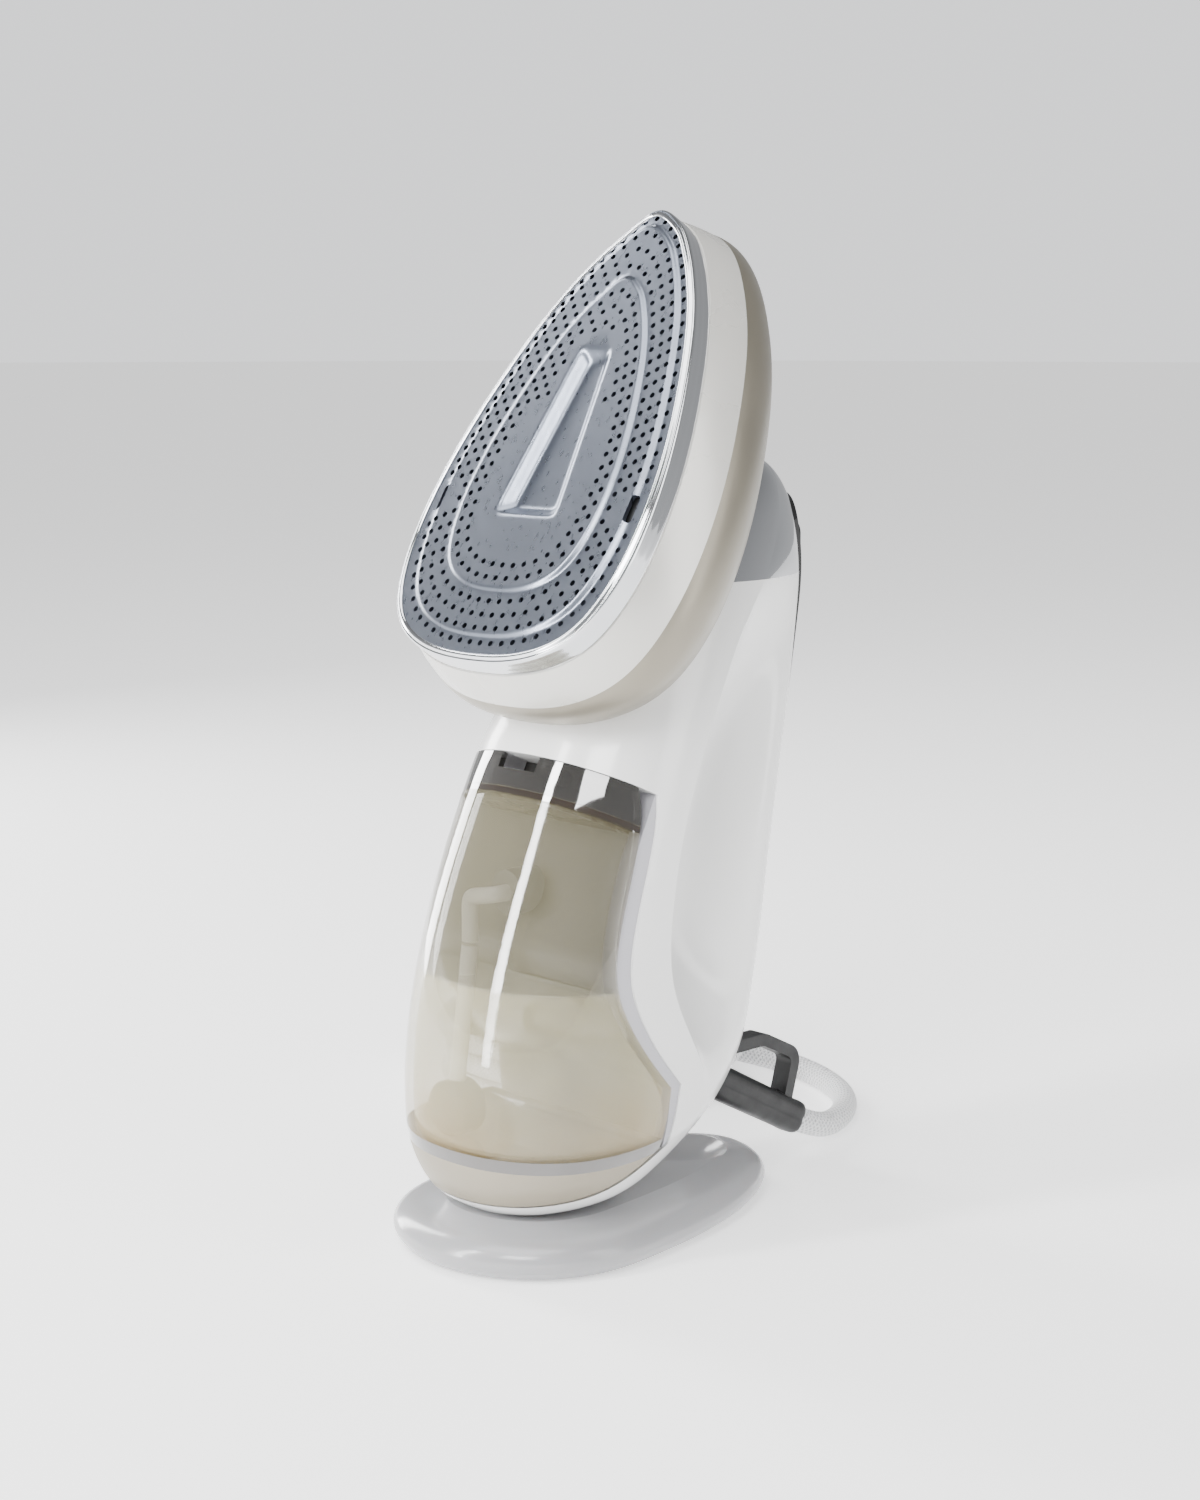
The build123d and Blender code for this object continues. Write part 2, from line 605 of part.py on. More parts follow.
with BuildPart() as power_button:
    with BuildSketch(Plane.XZ.offset(-BUTTON_ROOT)):
        with Locations((0, POWER_BUTTON_Z)):
            Circle(POWER_RADIUS)
    extrude(amount=-(POWER_FACE_Y - BUTTON_ROOT))
    fillet(power_button.faces().sort_by(Axis.Y)[-1].edges(), 0.6)

with BuildPart() as indicator_lens:
    with BuildSketch(Plane.XZ.offset(-BUTTON_ROOT)):
        with Locations((0, LENS_Z)):
            Circle(LENS_RADIUS)
    extrude(amount=-20)
    add(BODY_PROUD, mode=Mode.INTERSECT)

with BuildPart() as circuit_board:
    with Locations((0, BOARD_Y, BOARD_Z)):
        Box(*BOARD)

with BuildPart() as button_switches:
    for height, travel in ((STEAM_BUTTON_Z, STEAM_TRAVEL), (POWER_BUTTON_Z, POWER_TRAVEL)):
        near = BOARD_Y + BOARD[1] / 2
        far = BUTTON_ROOT - travel - GAP
        with Locations((0, (near + far) / 2, height)):
            Box(6, far - near, 6)

# ---- pump with its plunger and tubes -------------------------------------------------------
with BuildPart() as pump_body:
    with BuildSketch(Plane.XY.offset(PUMP_LOW)):
        with Locations((0, PUMP_Y)):
            Circle(PUMP_RADIUS)
            Circle(PUMP_BORE, mode=Mode.SUBTRACT)
    extrude(amount=PUMP_LONG)
    with BuildSketch(Plane.XY.offset(PUMP_LOW + PUMP_LONG)):
        with Locations((0, PUMP_Y)):
            Circle(PUMP_RADIUS - 2)
    extrude(amount=2)

with BuildPart() as pump_plunger:
    with BuildSketch(Plane.XY.offset(PUMP_LOW + 4)):
        with Locations((0, PUMP_Y)):
            Circle(PUMP_BORE - FIT)
    extrude(amount=PUMP_LONG - 4 - PLUNGER_TRAVEL - 1)

PUMP_TOP = PUMP_LOW + PUMP_LONG + 2
with BuildPart() as inlet_tube:
    with BuildLine():
        inlet_path = FilletPolyline(
            (0, BAY_WALL_Y + 6, VALVE_Z), (0, PUMP_Y - 6, VALVE_Z), (0, PUMP_Y - 6, PUMP_TOP), radius=7
        )
    with BuildSketch(Plane(origin=inlet_path @ 0, z_dir=inlet_path % 0)):
        Circle(PROBE_RADIUS)
    sweep()

FEED_TURN = tuple(head_plane(66).from_local_coords(Vector(0, NECK_AT, 0)))
FEED_END = tuple(head_plane(30).from_local_coords(Vector(0, NECK_AT, 0)))
with BuildPart() as boiler_feed_tube:
    with BuildLine():
        feed_path = FilletPolyline(
            (0, PUMP_Y + 5, PUMP_TOP),
            (0, PUMP_Y + 5, PUMP_TOP + 20),
            (0, 34, 128),
            FEED_TURN,
            FEED_END,
            radius=14,
        )
    with BuildSketch(Plane(origin=feed_path @ 0, z_dir=feed_path % 0)):
        Circle(2.0)
    sweep()

# ---- strain relief with its hanging loop ---------------------------------------------------
with BuildPart() as strain_relief:
    with BuildSketch(RELIEF_PLANE.offset(-RELIEF_INSIDE)):
        RegularPolygon(RELIEF_RADIUS, 8, major_radius=False)
    with BuildSketch(RELIEF_PLANE.offset(RELIEF_LENGTH - GAP)):
        RegularPolygon(RELIEF_RADIUS - 0.5, 8, major_radius=False)
    loft()
    with BuildSketch(RELIEF_PLANE.offset(-RELIEF_INSIDE - 3)):
        Circle(RELIEF_RADIUS + 3)
    extrude(amount=3.5)

with BuildPart() as hanging_loop:
    with BuildSketch(Plane.YZ):
        with BuildLine():
            loop_line = FilletPolyline(*LOOP_ROUTE, radius=4)
        trace(line_width=LOOP_THICK)
    extrude(amount=LOOP_WIDE / 2, both=True)
    add(strain_relief.part, mode=Mode.SUBTRACT)

with BuildPart() as cord_clamp:
    with BuildSketch(RELIEF_PLANE.offset(-RELIEF_INSIDE - 8)):
        RectangleRounded(14, 7, 2)
    extrude(amount=4)

# ---- stand ----------------------------------------------------------------------------------
def stand_curve(inset):
    """Plan of the stand drawn in by inset: half an ellipse in front, a longer one behind."""
    points = []
    for angle in range(0, 360, 20):
        turn = radians(angle)
        reach = (STAND_WIDEST - STAND_FRONT if cos(turn) < 0 else STAND_REAR - STAND_WIDEST) - inset
        points.append(((STAND_HALF - inset) * sin(turn), STAND_WIDEST + reach * cos(turn)))
    return points


def stand_form(inset, stations):
    """Solid through the stand's stations, drawn in by inset."""
    with BuildPart() as form:
        for height, drawn_in in stations:
            with BuildSketch(Plane.XY.offset(height)):
                with BuildLine():
                    Spline(*stand_curve(drawn_in + inset), periodic=True)
                make_face()
        loft()
    return form.part


with BuildPart() as stand_shell:
    add(stand_form(0, STAND_STATIONS))
    add(level_box(0, BODY_LOW), mode=Mode.INTERSECT)
    with Locations((0, SOCKET_Y, BODY_LOW + (SOCKET_DEPTH - GAP) / 2)):
        Box(SOCKET_WIDE, SOCKET_LONG, SOCKET_DEPTH - GAP)
    with Locations((0, NOTCH_Y, BODY_LOW + NOTCH_RADIUS - NOTCH_DEPTH)):
        Sphere(NOTCH_RADIUS, mode=Mode.SUBTRACT)
    with BuildSketch():
        with BuildLine():
            Spline(*stand_curve(PAD_INSET), periodic=True)
        make_face()
    extrude(amount=STAND_HOLLOW, mode=Mode.SUBTRACT)

with BuildPart() as foot_pad:
    with BuildSketch():
        with BuildLine():
            Spline(*stand_curve(PAD_INSET), periodic=True)
        make_face()
    extrude(amount=PAD_THICK)

# ---- cord, coil, tie and plug ----------------------------------------------------------------
def bend_radii(route):
    """Largest arc that each corner of the route has room for."""
    radii = []
    for before, here, after in zip(route, route[1:], route[2:]):
        run_in = Vector(*here) - Vector(*before)
        run_out = Vector(*after) - Vector(*here)
        turn = radians(run_in.get_angle(run_out))
        radii.append(0.45 * min(run_in.length, run_out.length) / tan(turn / 2))
    return radii


CORD_RADII = bend_radii(CORD_ROUTE)
with BuildPart() as cord:
    with BuildLine():
        cord_path = FilletPolyline(*CORD_ROUTE, radius=CORD_RADII)
    with BuildSketch(Plane(origin=cord_path @ 0, z_dir=cord_path % 0)):
        Circle(CORD_DIAMETER / 2)
    sweep()

with BuildPart() as cord_coil:
    with BuildSketch(COIL_PLANE):
        with Locations((COIL_RADIUS, TIE + COIL_HIGH / 2)):
            RectangleRounded(COIL_WIDE, COIL_HIGH, COIL_ROUND)
    revolve(axis=COIL_AXIS)

with BuildPart() as cord_tie:
    with BuildSketch(TIE_PLANE):
        with Locations((COIL_RADIUS, TIE + COIL_HIGH / 2)):
            RectangleRounded(COIL_WIDE + 2 * TIE, COIL_HIGH + 2 * TIE, COIL_ROUND + TIE)
            RectangleRounded(COIL_WIDE + 2 * FIT, COIL_HIGH + 2 * FIT, COIL_ROUND + FIT, mode=Mode.SUBTRACT)
    revolve(axis=COIL_AXIS, revolution_arc=TIE_ARC)

PLUG_MIDDLE = (COIL_MIDDLE[0] + PLUG_SHIFT, COIL_MIDDLE[1] - COIL_RADIUS, TIE + COIL_HIGH + PLUG[2] / 2)
with BuildPart() as plug:
    with Locations(PLUG_MIDDLE):
        Box(*PLUG)
    fillet(plug.edges().filter_by(Axis.X), 6)
    chamfer(plug.faces().sort_by(Axis.X)[0].edges(), 4)

PLUG_FACE = (PLUG_MIDDLE[0] + PLUG[0] / 2, *PLUG_MIDDLE[1:])
with BuildPart() as plug_pins:
    with BuildSketch(Plane(origin=PLUG_FACE, x_dir=(0, 1, 0), z_dir=(1, 0, 0))):
        with GridLocations(PIN_APART, 0, 2, 1):
            Circle(PIN_RADIUS)
    extrude(amount=PIN_LONG)

# ---- labels and files ------------------------------------------------------------------------
PIECES = {
    "main_housing": main_housing, "neck_collar": neck_collar, "rear_grip_cover": rear_grip_cover,
    "control_panel": control_panel, "bay_frame": bay_frame, "water_probe": water_probe,
    "tank_body": tank_body, "tank_base": tank_base, "tank_roof": tank_roof, "tank_valve": tank_valve,
    "suction_elbow": suction_elbow, "suction_hose": suction_hose, "intake_filter": intake_filter,
    "tank_latch": tank_latch, "soleplate": soleplate, "boiler_plate": boiler_plate,
    "heating_element": heating_element, "steam_dome": steam_dome, "thermostat": thermostat,
    "thermal_fuse": thermal_fuse, "boiler_screws": boiler_screws, "sole_gasket": sole_gasket,
    "sole_rim": sole_rim, "head_ring": head_ring, "heat_shield": heat_shield, "head_bowl": head_bowl,
    "neck_duct": neck_duct, "steam_button": steam_button, "power_button": power_button,
    "indicator_lens": indicator_lens, "circuit_board": circuit_board, "button_switches": button_switches,
    "pump_body": pump_body, "pump_plunger": pump_plunger, "inlet_tube": inlet_tube,
    "boiler_feed_tube": boiler_feed_tube, "strain_relief": strain_relief, "hanging_loop": hanging_loop,
    "cord_clamp": cord_clamp, "stand_shell": stand_shell, "foot_pad": foot_pad, "cord": cord,
    "cord_coil": cord_coil, "cord_tie": cord_tie, "plug": plug, "plug_pins": plug_pins,
}
for label, piece in PIECES.items():
    piece.part.label = label
    export_step(piece.part, f"parts/{label}.step")

print("cord bend radii", [round(radius, 1) for radius in CORD_RADII])
print("cord tube length", round(cord_path.length, 1), "volume", round(cord.part.volume),
      "section times length", round(pi * (CORD_DIAMETER / 2)**2 * cord_path.length))
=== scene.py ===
"""Garment steamer on its resting stand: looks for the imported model. All lengths are in metres."""
from math import cos, pi, radians, sin

import bpy
import numpy as np
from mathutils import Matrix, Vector
from mathutils.geometry import convex_hull_2d, delaunay_2d_cdt


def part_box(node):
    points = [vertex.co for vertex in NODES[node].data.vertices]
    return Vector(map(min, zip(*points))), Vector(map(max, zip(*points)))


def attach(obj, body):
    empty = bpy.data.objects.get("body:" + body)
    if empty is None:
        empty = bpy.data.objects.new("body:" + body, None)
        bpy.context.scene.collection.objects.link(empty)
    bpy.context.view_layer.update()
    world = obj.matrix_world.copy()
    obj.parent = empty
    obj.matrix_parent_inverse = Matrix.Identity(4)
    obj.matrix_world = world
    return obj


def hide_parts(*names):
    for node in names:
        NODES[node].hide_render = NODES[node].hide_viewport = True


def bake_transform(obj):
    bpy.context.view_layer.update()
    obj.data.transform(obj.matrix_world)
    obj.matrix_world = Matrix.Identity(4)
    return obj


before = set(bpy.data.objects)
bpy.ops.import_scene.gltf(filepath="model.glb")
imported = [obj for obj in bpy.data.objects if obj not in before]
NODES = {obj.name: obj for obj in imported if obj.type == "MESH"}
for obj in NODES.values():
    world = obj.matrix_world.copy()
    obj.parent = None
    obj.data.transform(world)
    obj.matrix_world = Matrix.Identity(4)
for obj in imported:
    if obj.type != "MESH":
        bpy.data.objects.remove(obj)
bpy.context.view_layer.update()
MM = 0.001


# ---- camera, floor and lights ---------------------------------------------------------------
def look_at(thing, target):
    """Turns a light or camera so that it looks at target."""
    thing.rotation_euler = (Vector(target) - thing.location).to_track_quat("-Z", "Y").to_euler()


def round_about(azimuth, elevation, distance, centre):
    """Point at that azimuth (degrees from +X, anticlockwise), elevation and distance from centre."""
    a, e = radians(azimuth), radians(elevation)
    step = Vector((cos(a) * cos(e), sin(a) * cos(e), sin(e)))
    return Vector(centre) + distance * step


AIM = (0, 0, 130 * MM)
camera_data = bpy.data.cameras.new("camera")
camera_data.lens = 60.72          # in millimetres, as the sensor's width
camera_data.sensor_width = 36
camera_data.clip_start = 0.01
camera = bpy.data.objects.new("camera", camera_data)
camera.location = round_about(-44, 9, 0.68, AIM)
look_at(camera, AIM)
bpy.context.collection.objects.link(camera)
bpy.context.scene.camera = camera


def softbox(name, azimuth, elevation, distance, size, power):
    """Rectangular soft light that looks at the middle of the object."""
    data = bpy.data.lights.new(name, "AREA")
    data.shape = "RECTANGLE"
    data.size, data.size_y = size
    data.energy = power
    light = bpy.data.objects.new(name, data)
    light.location = round_about(azimuth, elevation, distance, AIM)
    look_at(light, AIM)
    bpy.context.collection.objects.link(light)


softbox("strip_left", -178, 8, 1.0, (0.24, 1.5), 22)
softbox("strip_front", -107, 10, 1.0, (0.12, 1.5), 24)
softbox("fill_right", 20, 20, 1.4, (0.5, 1.4), 9)
softbox("high_front", -62, 40, 1.2, (0.5, 0.4), 11)
softbox("overhead", -90, 75, 1.5, (1.2, 1.0), 20)


# ---- cord: its route, then its turns ----------------------------------------------------------
CORD_DIAMETER = 7.5 * MM
ROUTE = (              # from the strain relief down to the floor and round to the coil
    (0, 78.5, 11.4), (0, 91, 4.6), (-4.5, 108, 3.8), (-17.5, 125, 3.8),
    (-38, 136, 3.8), (-60, 140.5, 3.8), (-80, 139.2, 3.8),
)
COIL_FROM = 90         # angle where the cord joins the coil
TURN_STEP = 15
REST = 4.65 * MM       # middle of the lowest layer of turns above the floor
COIL_DEEP = 14.2 * MM  # from the outermost turn to the innermost
KNOTS = (0, 680, 752, 1432, 1504, 2184, 2260, 2325)   # degrees round where a layer ends or begins
CORD_RIDGES = 24       # faces round the cord


def coil_turns():
    """Three layers of turns: radius and height are straight ramps over the angle between knots."""
    low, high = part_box("cord_coil")
    middle = (np.array(low) + np.array(high)) / 2
    outer = (high[0] - low[0]) / 2 - CORD_DIAMETER / 2
    inner = outer - COIL_DEEP
    radii = (outer, inner, inner, outer, outer, inner, inner + 2.2 * MM, inner + 6.6 * MM)
    layer = CORD_DIAMETER
    heights = (0, 0, layer, layer, 2 * layer, 2 * layer, 3 * layer, 3.5 * layer)
    angles = np.arange(TURN_STEP, KNOTS[-1] + 1, TURN_STEP)
    turn = np.radians(COIL_FROM + angles)
    radius = np.interp(angles, KNOTS, radii)
    height = REST + np.interp(angles, KNOTS, heights)
    return np.stack((middle[0] + radius * np.cos(turn), middle[1] + radius * np.sin(turn), height), 1)


def cord_line():
    """The cord's smooth line: a quadratic spline whose control points are the route and the turns."""
    plug_low, plug_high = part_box("plug")
    entry = [plug_low[0] + 3 * MM, (plug_low[1] + plug_high[1]) / 2, (plug_low[2] + plug_high[2]) / 2]
    points = [[v * MM for v in point] for point in ROUTE] + coil_turns().tolist() + [entry]
    data = bpy.data.curves.new("cord_line", "CURVE")
    data.dimensions = "3D"
    data.resolution_u = 8
    spline = data.splines.new("NURBS")
    spline.points.add(len(points) - 1)
    spline.points.foreach_set("co", np.array([[*point, 1.0] for point in points]).ravel())
    spline.order_u = 3
    spline.use_endpoint_u = True
    carrier = bpy.data.objects.new("cord_line", data)
    mesh = bpy.data.meshes.new_from_object(carrier)
    line = np.empty(3 * len(mesh.vertices))
    mesh.vertices.foreach_get("co", line)
    bpy.data.objects.remove(carrier)
    return line.reshape(-1, 3)


# ---- mesh helpers -----------------------------------------------------------------------------
SHARP = radians(38)    # faces that meet at more than this keep a crisp edge


def mesh_piece(name, points, faces, material):
    """Object with the given points and faces, at the origin, smooth but for its sharp edges."""
    mesh = bpy.data.meshes.new(name)
    mesh.from_pydata(np.asarray(points).reshape(-1, 3).tolist(), [], faces)
    mesh.validate()
    mesh.polygons.foreach_set("use_smooth", [True] * len(mesh.polygons))
    mesh.materials.append(material)
    mesh.set_sharp_from_angle(angle=SHARP)
    mesh.update()
    piece = bpy.data.objects.new(name, mesh)
    bpy.context.collection.objects.link(piece)
    return piece


def grid_faces(rows, columns, close_rows=False, close_columns=True):
    """Quads between neighbours of a grid of points, wrapped round where it closes."""
    i = np.arange(rows if close_rows else rows - 1)
    j = np.arange(columns if close_columns else columns - 1)
    i, j = np.meshgrid(i, j, indexing="ij")
    a, b = i * columns + j, i * columns + (j + 1) % columns
    c, d = (i + 1) % rows * columns + (j + 1) % columns, (i + 1) % rows * columns + j
    return np.stack((a, b, c, d), -1).reshape(-1, 4).tolist()


def tube_points(line, radii, around):
    """Rings of points about a line: each ring is square to the line, its first side level."""
    line = np.asarray(line, float)
    ahead = np.gradient(line, axis=0)
    ahead /= np.linalg.norm(ahead, axis=1, keepdims=True)
    side = np.cross((0, 0, 1.0), ahead)
    side /= np.linalg.norm(side, axis=1, keepdims=True)
    up = np.cross(ahead, side)
    turn = np.linspace(0, 2 * pi, around, endpoint=False)
    ring = side[:, None] * np.cos(turn)[:, None] + up[:, None] * np.sin(turn)[:, None]
    return line[:, None] + ring * np.asarray(radii, float).reshape(len(line), -1, 1)


def tube_piece(name, line, radii, around, material):
    """Closed tube about a line, with its own UV map: U once round, V in metres along."""
    points = tube_points(line, radii, around)
    rows = len(points)
    faces = grid_faces(rows, around)
    faces.append(list(range(around))[::-1])
    faces.append(list(range((rows - 1) * around, rows * around)))
    piece = mesh_piece(name, points, faces, material)
    along = np.concatenate(([0], np.cumsum(np.linalg.norm(np.diff(line, axis=0), axis=1))))
    quads = (rows - 1) * around
    u = np.tile(np.arange(around) / around, rows - 1)
    v = np.repeat(along[:-1], around)
    step = np.repeat(np.diff(along), around)
    corners = np.stack((u, v, u + 1 / around, v, u + 1 / around, v + step, u, v + step), -1)
    caps = np.zeros((len(piece.data.loops) - 4 * quads) * 2)
    piece.data.uv_layers.new(name="UVMap").data.foreach_set("uv", np.concatenate((corners.ravel(), caps)))
    return piece


# ---- materials --------------------------------------------------------------------------------
def colour(code):
    """Linear colour of an sRGB hex value."""
    parts = [int(code[i:i + 2], 16) / 255 for i in (1, 3, 5)]
    return tuple(c / 12.92 if c <= 0.04045 else ((c + 0.055) / 1.055) ** 2.4 for c in parts) + (1.0,)


def add(tree, kind, values=None, **settings):
    """Adds a node with its settings, and sets or links its inputs."""
    node = tree.nodes.new(kind)
    for name, value in settings.items():
        setattr(node, name, value)
    for name, value in (values or {}).items():
        if isinstance(value, bpy.types.NodeSocket):
            tree.links.new(value, node.inputs[name])
        else:
            node.inputs[name].default_value = value
    return node


def finish_of(name, base, values, grain, depth, rough, mottle=0.0, mottle_size=18.0):
    """A moulded, cast or coated finish: a fine relief of grain size (mm) and depth (mm), roughness
    that wanders between two values, and a colour that wanders by mottle."""
    material = bpy.data.materials.new(name)
    material.use_nodes = True
    tree = material.node_tree
    tree.nodes.clear()
    place = add(tree, "ShaderNodeTexCoord").outputs["Object"]
    broad = add(tree, "ShaderNodeTexNoise", {"Vector": place, "Scale": 1 / (mottle_size * MM), "Detail": 3.0})
    fine = add(tree, "ShaderNodeTexNoise", {"Vector": place, "Scale": 1 / (grain * MM), "Detail": 2.0})
    bump = add(tree, "ShaderNodeBump", {"Height": fine.outputs[0], "Distance": depth * MM, "Strength": 1.0})
    sheen = add(tree, "ShaderNodeMapRange", {
        "Value": broad.outputs[0], "From Min": 0.3, "From Max": 0.7, "To Min": rough[0], "To Max": rough[1]})
    first = colour(base)
    second = tuple(min(1.0, c * (1 - mottle)) for c in first[:3]) + (1.0,)
    tint = add(tree, "ShaderNodeMix", {"Factor": broad.outputs[0], 6: first, 7: second}, data_type="RGBA")
    shader = add(tree, "ShaderNodeBsdfPrincipled", {
        "Base Color": tint.outputs[2], "Roughness": sheen.outputs[0], "Normal": bump.outputs[0], **values})
    add(tree, "ShaderNodeOutputMaterial", {"Surface": shader.outputs[0]})
    return material


# Gloss-white ABS, injection moulded and polished: a clear even gloss with the faintest orange peel.
white_abs = finish_of("gloss white ABS", "#EFEFEE", {"IOR": 1.54, "Coat Weight": 0.3, "Coat Roughness": 0.08},
                      9.0, 0.012, (0.16, 0.22), 0.012)
# Pearl lacquer on ABS: warm white with a soft metallic glow.
pearl_lacquer = finish_of("pearl white lacquer", "#D4D2CC", {"IOR": 1.5, "Metallic": 0.3, "Coat Weight": 0.5,
                          "Coat Roughness": 0.12}, 0.9, 0.002, (0.26, 0.30), 0.01, 30.0)
# Champagne metallic lacquer: satin, with fine flake.
champagne_lacquer = finish_of("champagne satin lacquer", "#8F897B", {"Metallic": 0.75, "Coat Weight": 0.25,
                              "Coat Roughness": 0.25}, 0.7, 0.006, (0.32, 0.40), 0.05, 12.0)
# Chrome plating: mirror-like, only slightly softened.
chrome_plate = finish_of("chrome plating", "#DFE1E4", {"Metallic": 1.0}, 6.0, 0.002, (0.05, 0.10), 0.02)
# Cast aluminium, heat-darkened.
cast_aluminium = finish_of("cast aluminium", "#5A5B5E", {"Metallic": 1.0}, 0.8, 0.05, (0.45, 0.60), 0.2, 6.0)
# Piano-black ABS.
black_gloss = finish_of("gloss black ABS", "#050506", {"IOR": 1.54, "Coat Weight": 0.4,
                        "Coat Roughness": 0.05}, 8.0, 0.006, (0.10, 0.16), 0.1)
# Moulded rubber: matt, with a fine spark-eroded grain.
black_rubber = finish_of("moulded black rubber", "#08080A", {"IOR": 1.52}, 0.6, 0.03, (0.42, 0.58), 0.15, 5.0)
# Grey ABS band round the tank.
grey_abs = finish_of("lilac grey ABS", "#B3B2B8", {"IOR": 1.54}, 0.9, 0.006, (0.30, 0.38), 0.03)
# Taupe ABS of the tank's base, satin.
taupe_abs = finish_of("taupe satin ABS", "#958D7C", {"IOR": 1.54}, 0.8, 0.006, (0.30, 0.42), 0.04)
# Brown tinted bulkhead of the tank.
brown_abs = finish_of("brown tinted ABS", "#3E3220", {"IOR": 1.54}, 0.9, 0.006, (0.22, 0.32), 0.06)
# Dark grey ABS of the latch and of what lies inside the body: satin.
grey_abs_dark = finish_of("dark grey ABS", "#2A2926", {"IOR": 1.54}, 0.9, 0.01, (0.32, 0.44), 0.08)
# Grey nylon, moulded: satin and a little waxy.
grey_nylon = finish_of("grey nylon", "#777570", {"IOR": 1.53}, 0.7, 0.01, (0.36, 0.48), 0.06)
# Stand: pale grey gloss ABS, a little translucent.
stand_abs = finish_of("pale grey gloss ABS", "#9C9C9E", {"IOR": 1.54, "Coat Weight": 0.25,
                      "Coat Roughness": 0.1, "Subsurface Weight": 0.06, "Subsurface Scale": 0.003}, 9.0, 0.010,
                      (0.18, 0.26), 0.015)
# Foot rubber, moulded: quite matt.
foot_rubber = finish_of("grey foot rubber", "#6A6B6E", {"IOR": 1.52}, 0.6, 0.02, (0.6, 0.75), 0.1, 6.0)
# Plug pins, nickel-plated: bright, faintly warm.
pin_brass = finish_of("nickel-plated brass", "#C9C3B2", {"Metallic": 1.0}, 0.7, 0.004, (0.18, 0.28), 0.05,
                      4.0)
# Zinc-plated steel: a dull shine that wanders.
plain_steel = finish_of("zinc-plated steel", "#A6A8AC", {"Metallic": 1.0}, 0.7, 0.006, (0.28, 0.40), 0.08,
                        4.0)
# Silicone rubber, moulded: soft and matt.
dark_silicone = finish_of("dark grey silicone", "#242427", {"IOR": 1.43}, 0.6, 0.01, (0.45, 0.55), 0.05, 6.0)
# Solder mask over glass fibre: a green varnish.
circuit_green = finish_of("green solder mask", "#1F5B3A", {"IOR": 1.5}, 0.7, 0.008, (0.25, 0.35), 0.1, 5.0)
# Pressed mica: flaky, brown and half glossy.
mica_sheet = finish_of("mica sheet", "#A08A62", {"IOR": 1.58}, 0.8, 0.02, (0.35, 0.5), 0.2, 7.0)
# Polycarbonate lens: clear gloss with a blue tint.
blue_lens = finish_of("blue lens polycarbonate", "#7FA6D8", {"IOR": 1.585, "Transmission Weight": 0.4},
                      3.0, 0.004, (0.08, 0.14), 0.05, 3.0)
# Natural silicone hose: milky and soft.
milky_silicone = finish_of("milky silicone", "#EDEAE0", {"IOR": 1.43, "Alpha": 0.75}, 0.8, 0.006,
                           (0.30, 0.40), 0.03, 6.0)


SEAM_TOP = 117.2 * MM   # height of the tank's sloping top where it would cross the middle
SEAM_FALL = 0.53        # its fall towards the rear
BAND_DEEP = 10.6 * MM   # height of the smoked band under it
ROOF_LINE = 0.9 * MM    # half the height of the brown line under the band
WELD_DEEP = 3.4 * MM    # height of the brown line at the base
WATER_LEVEL = 74 * MM


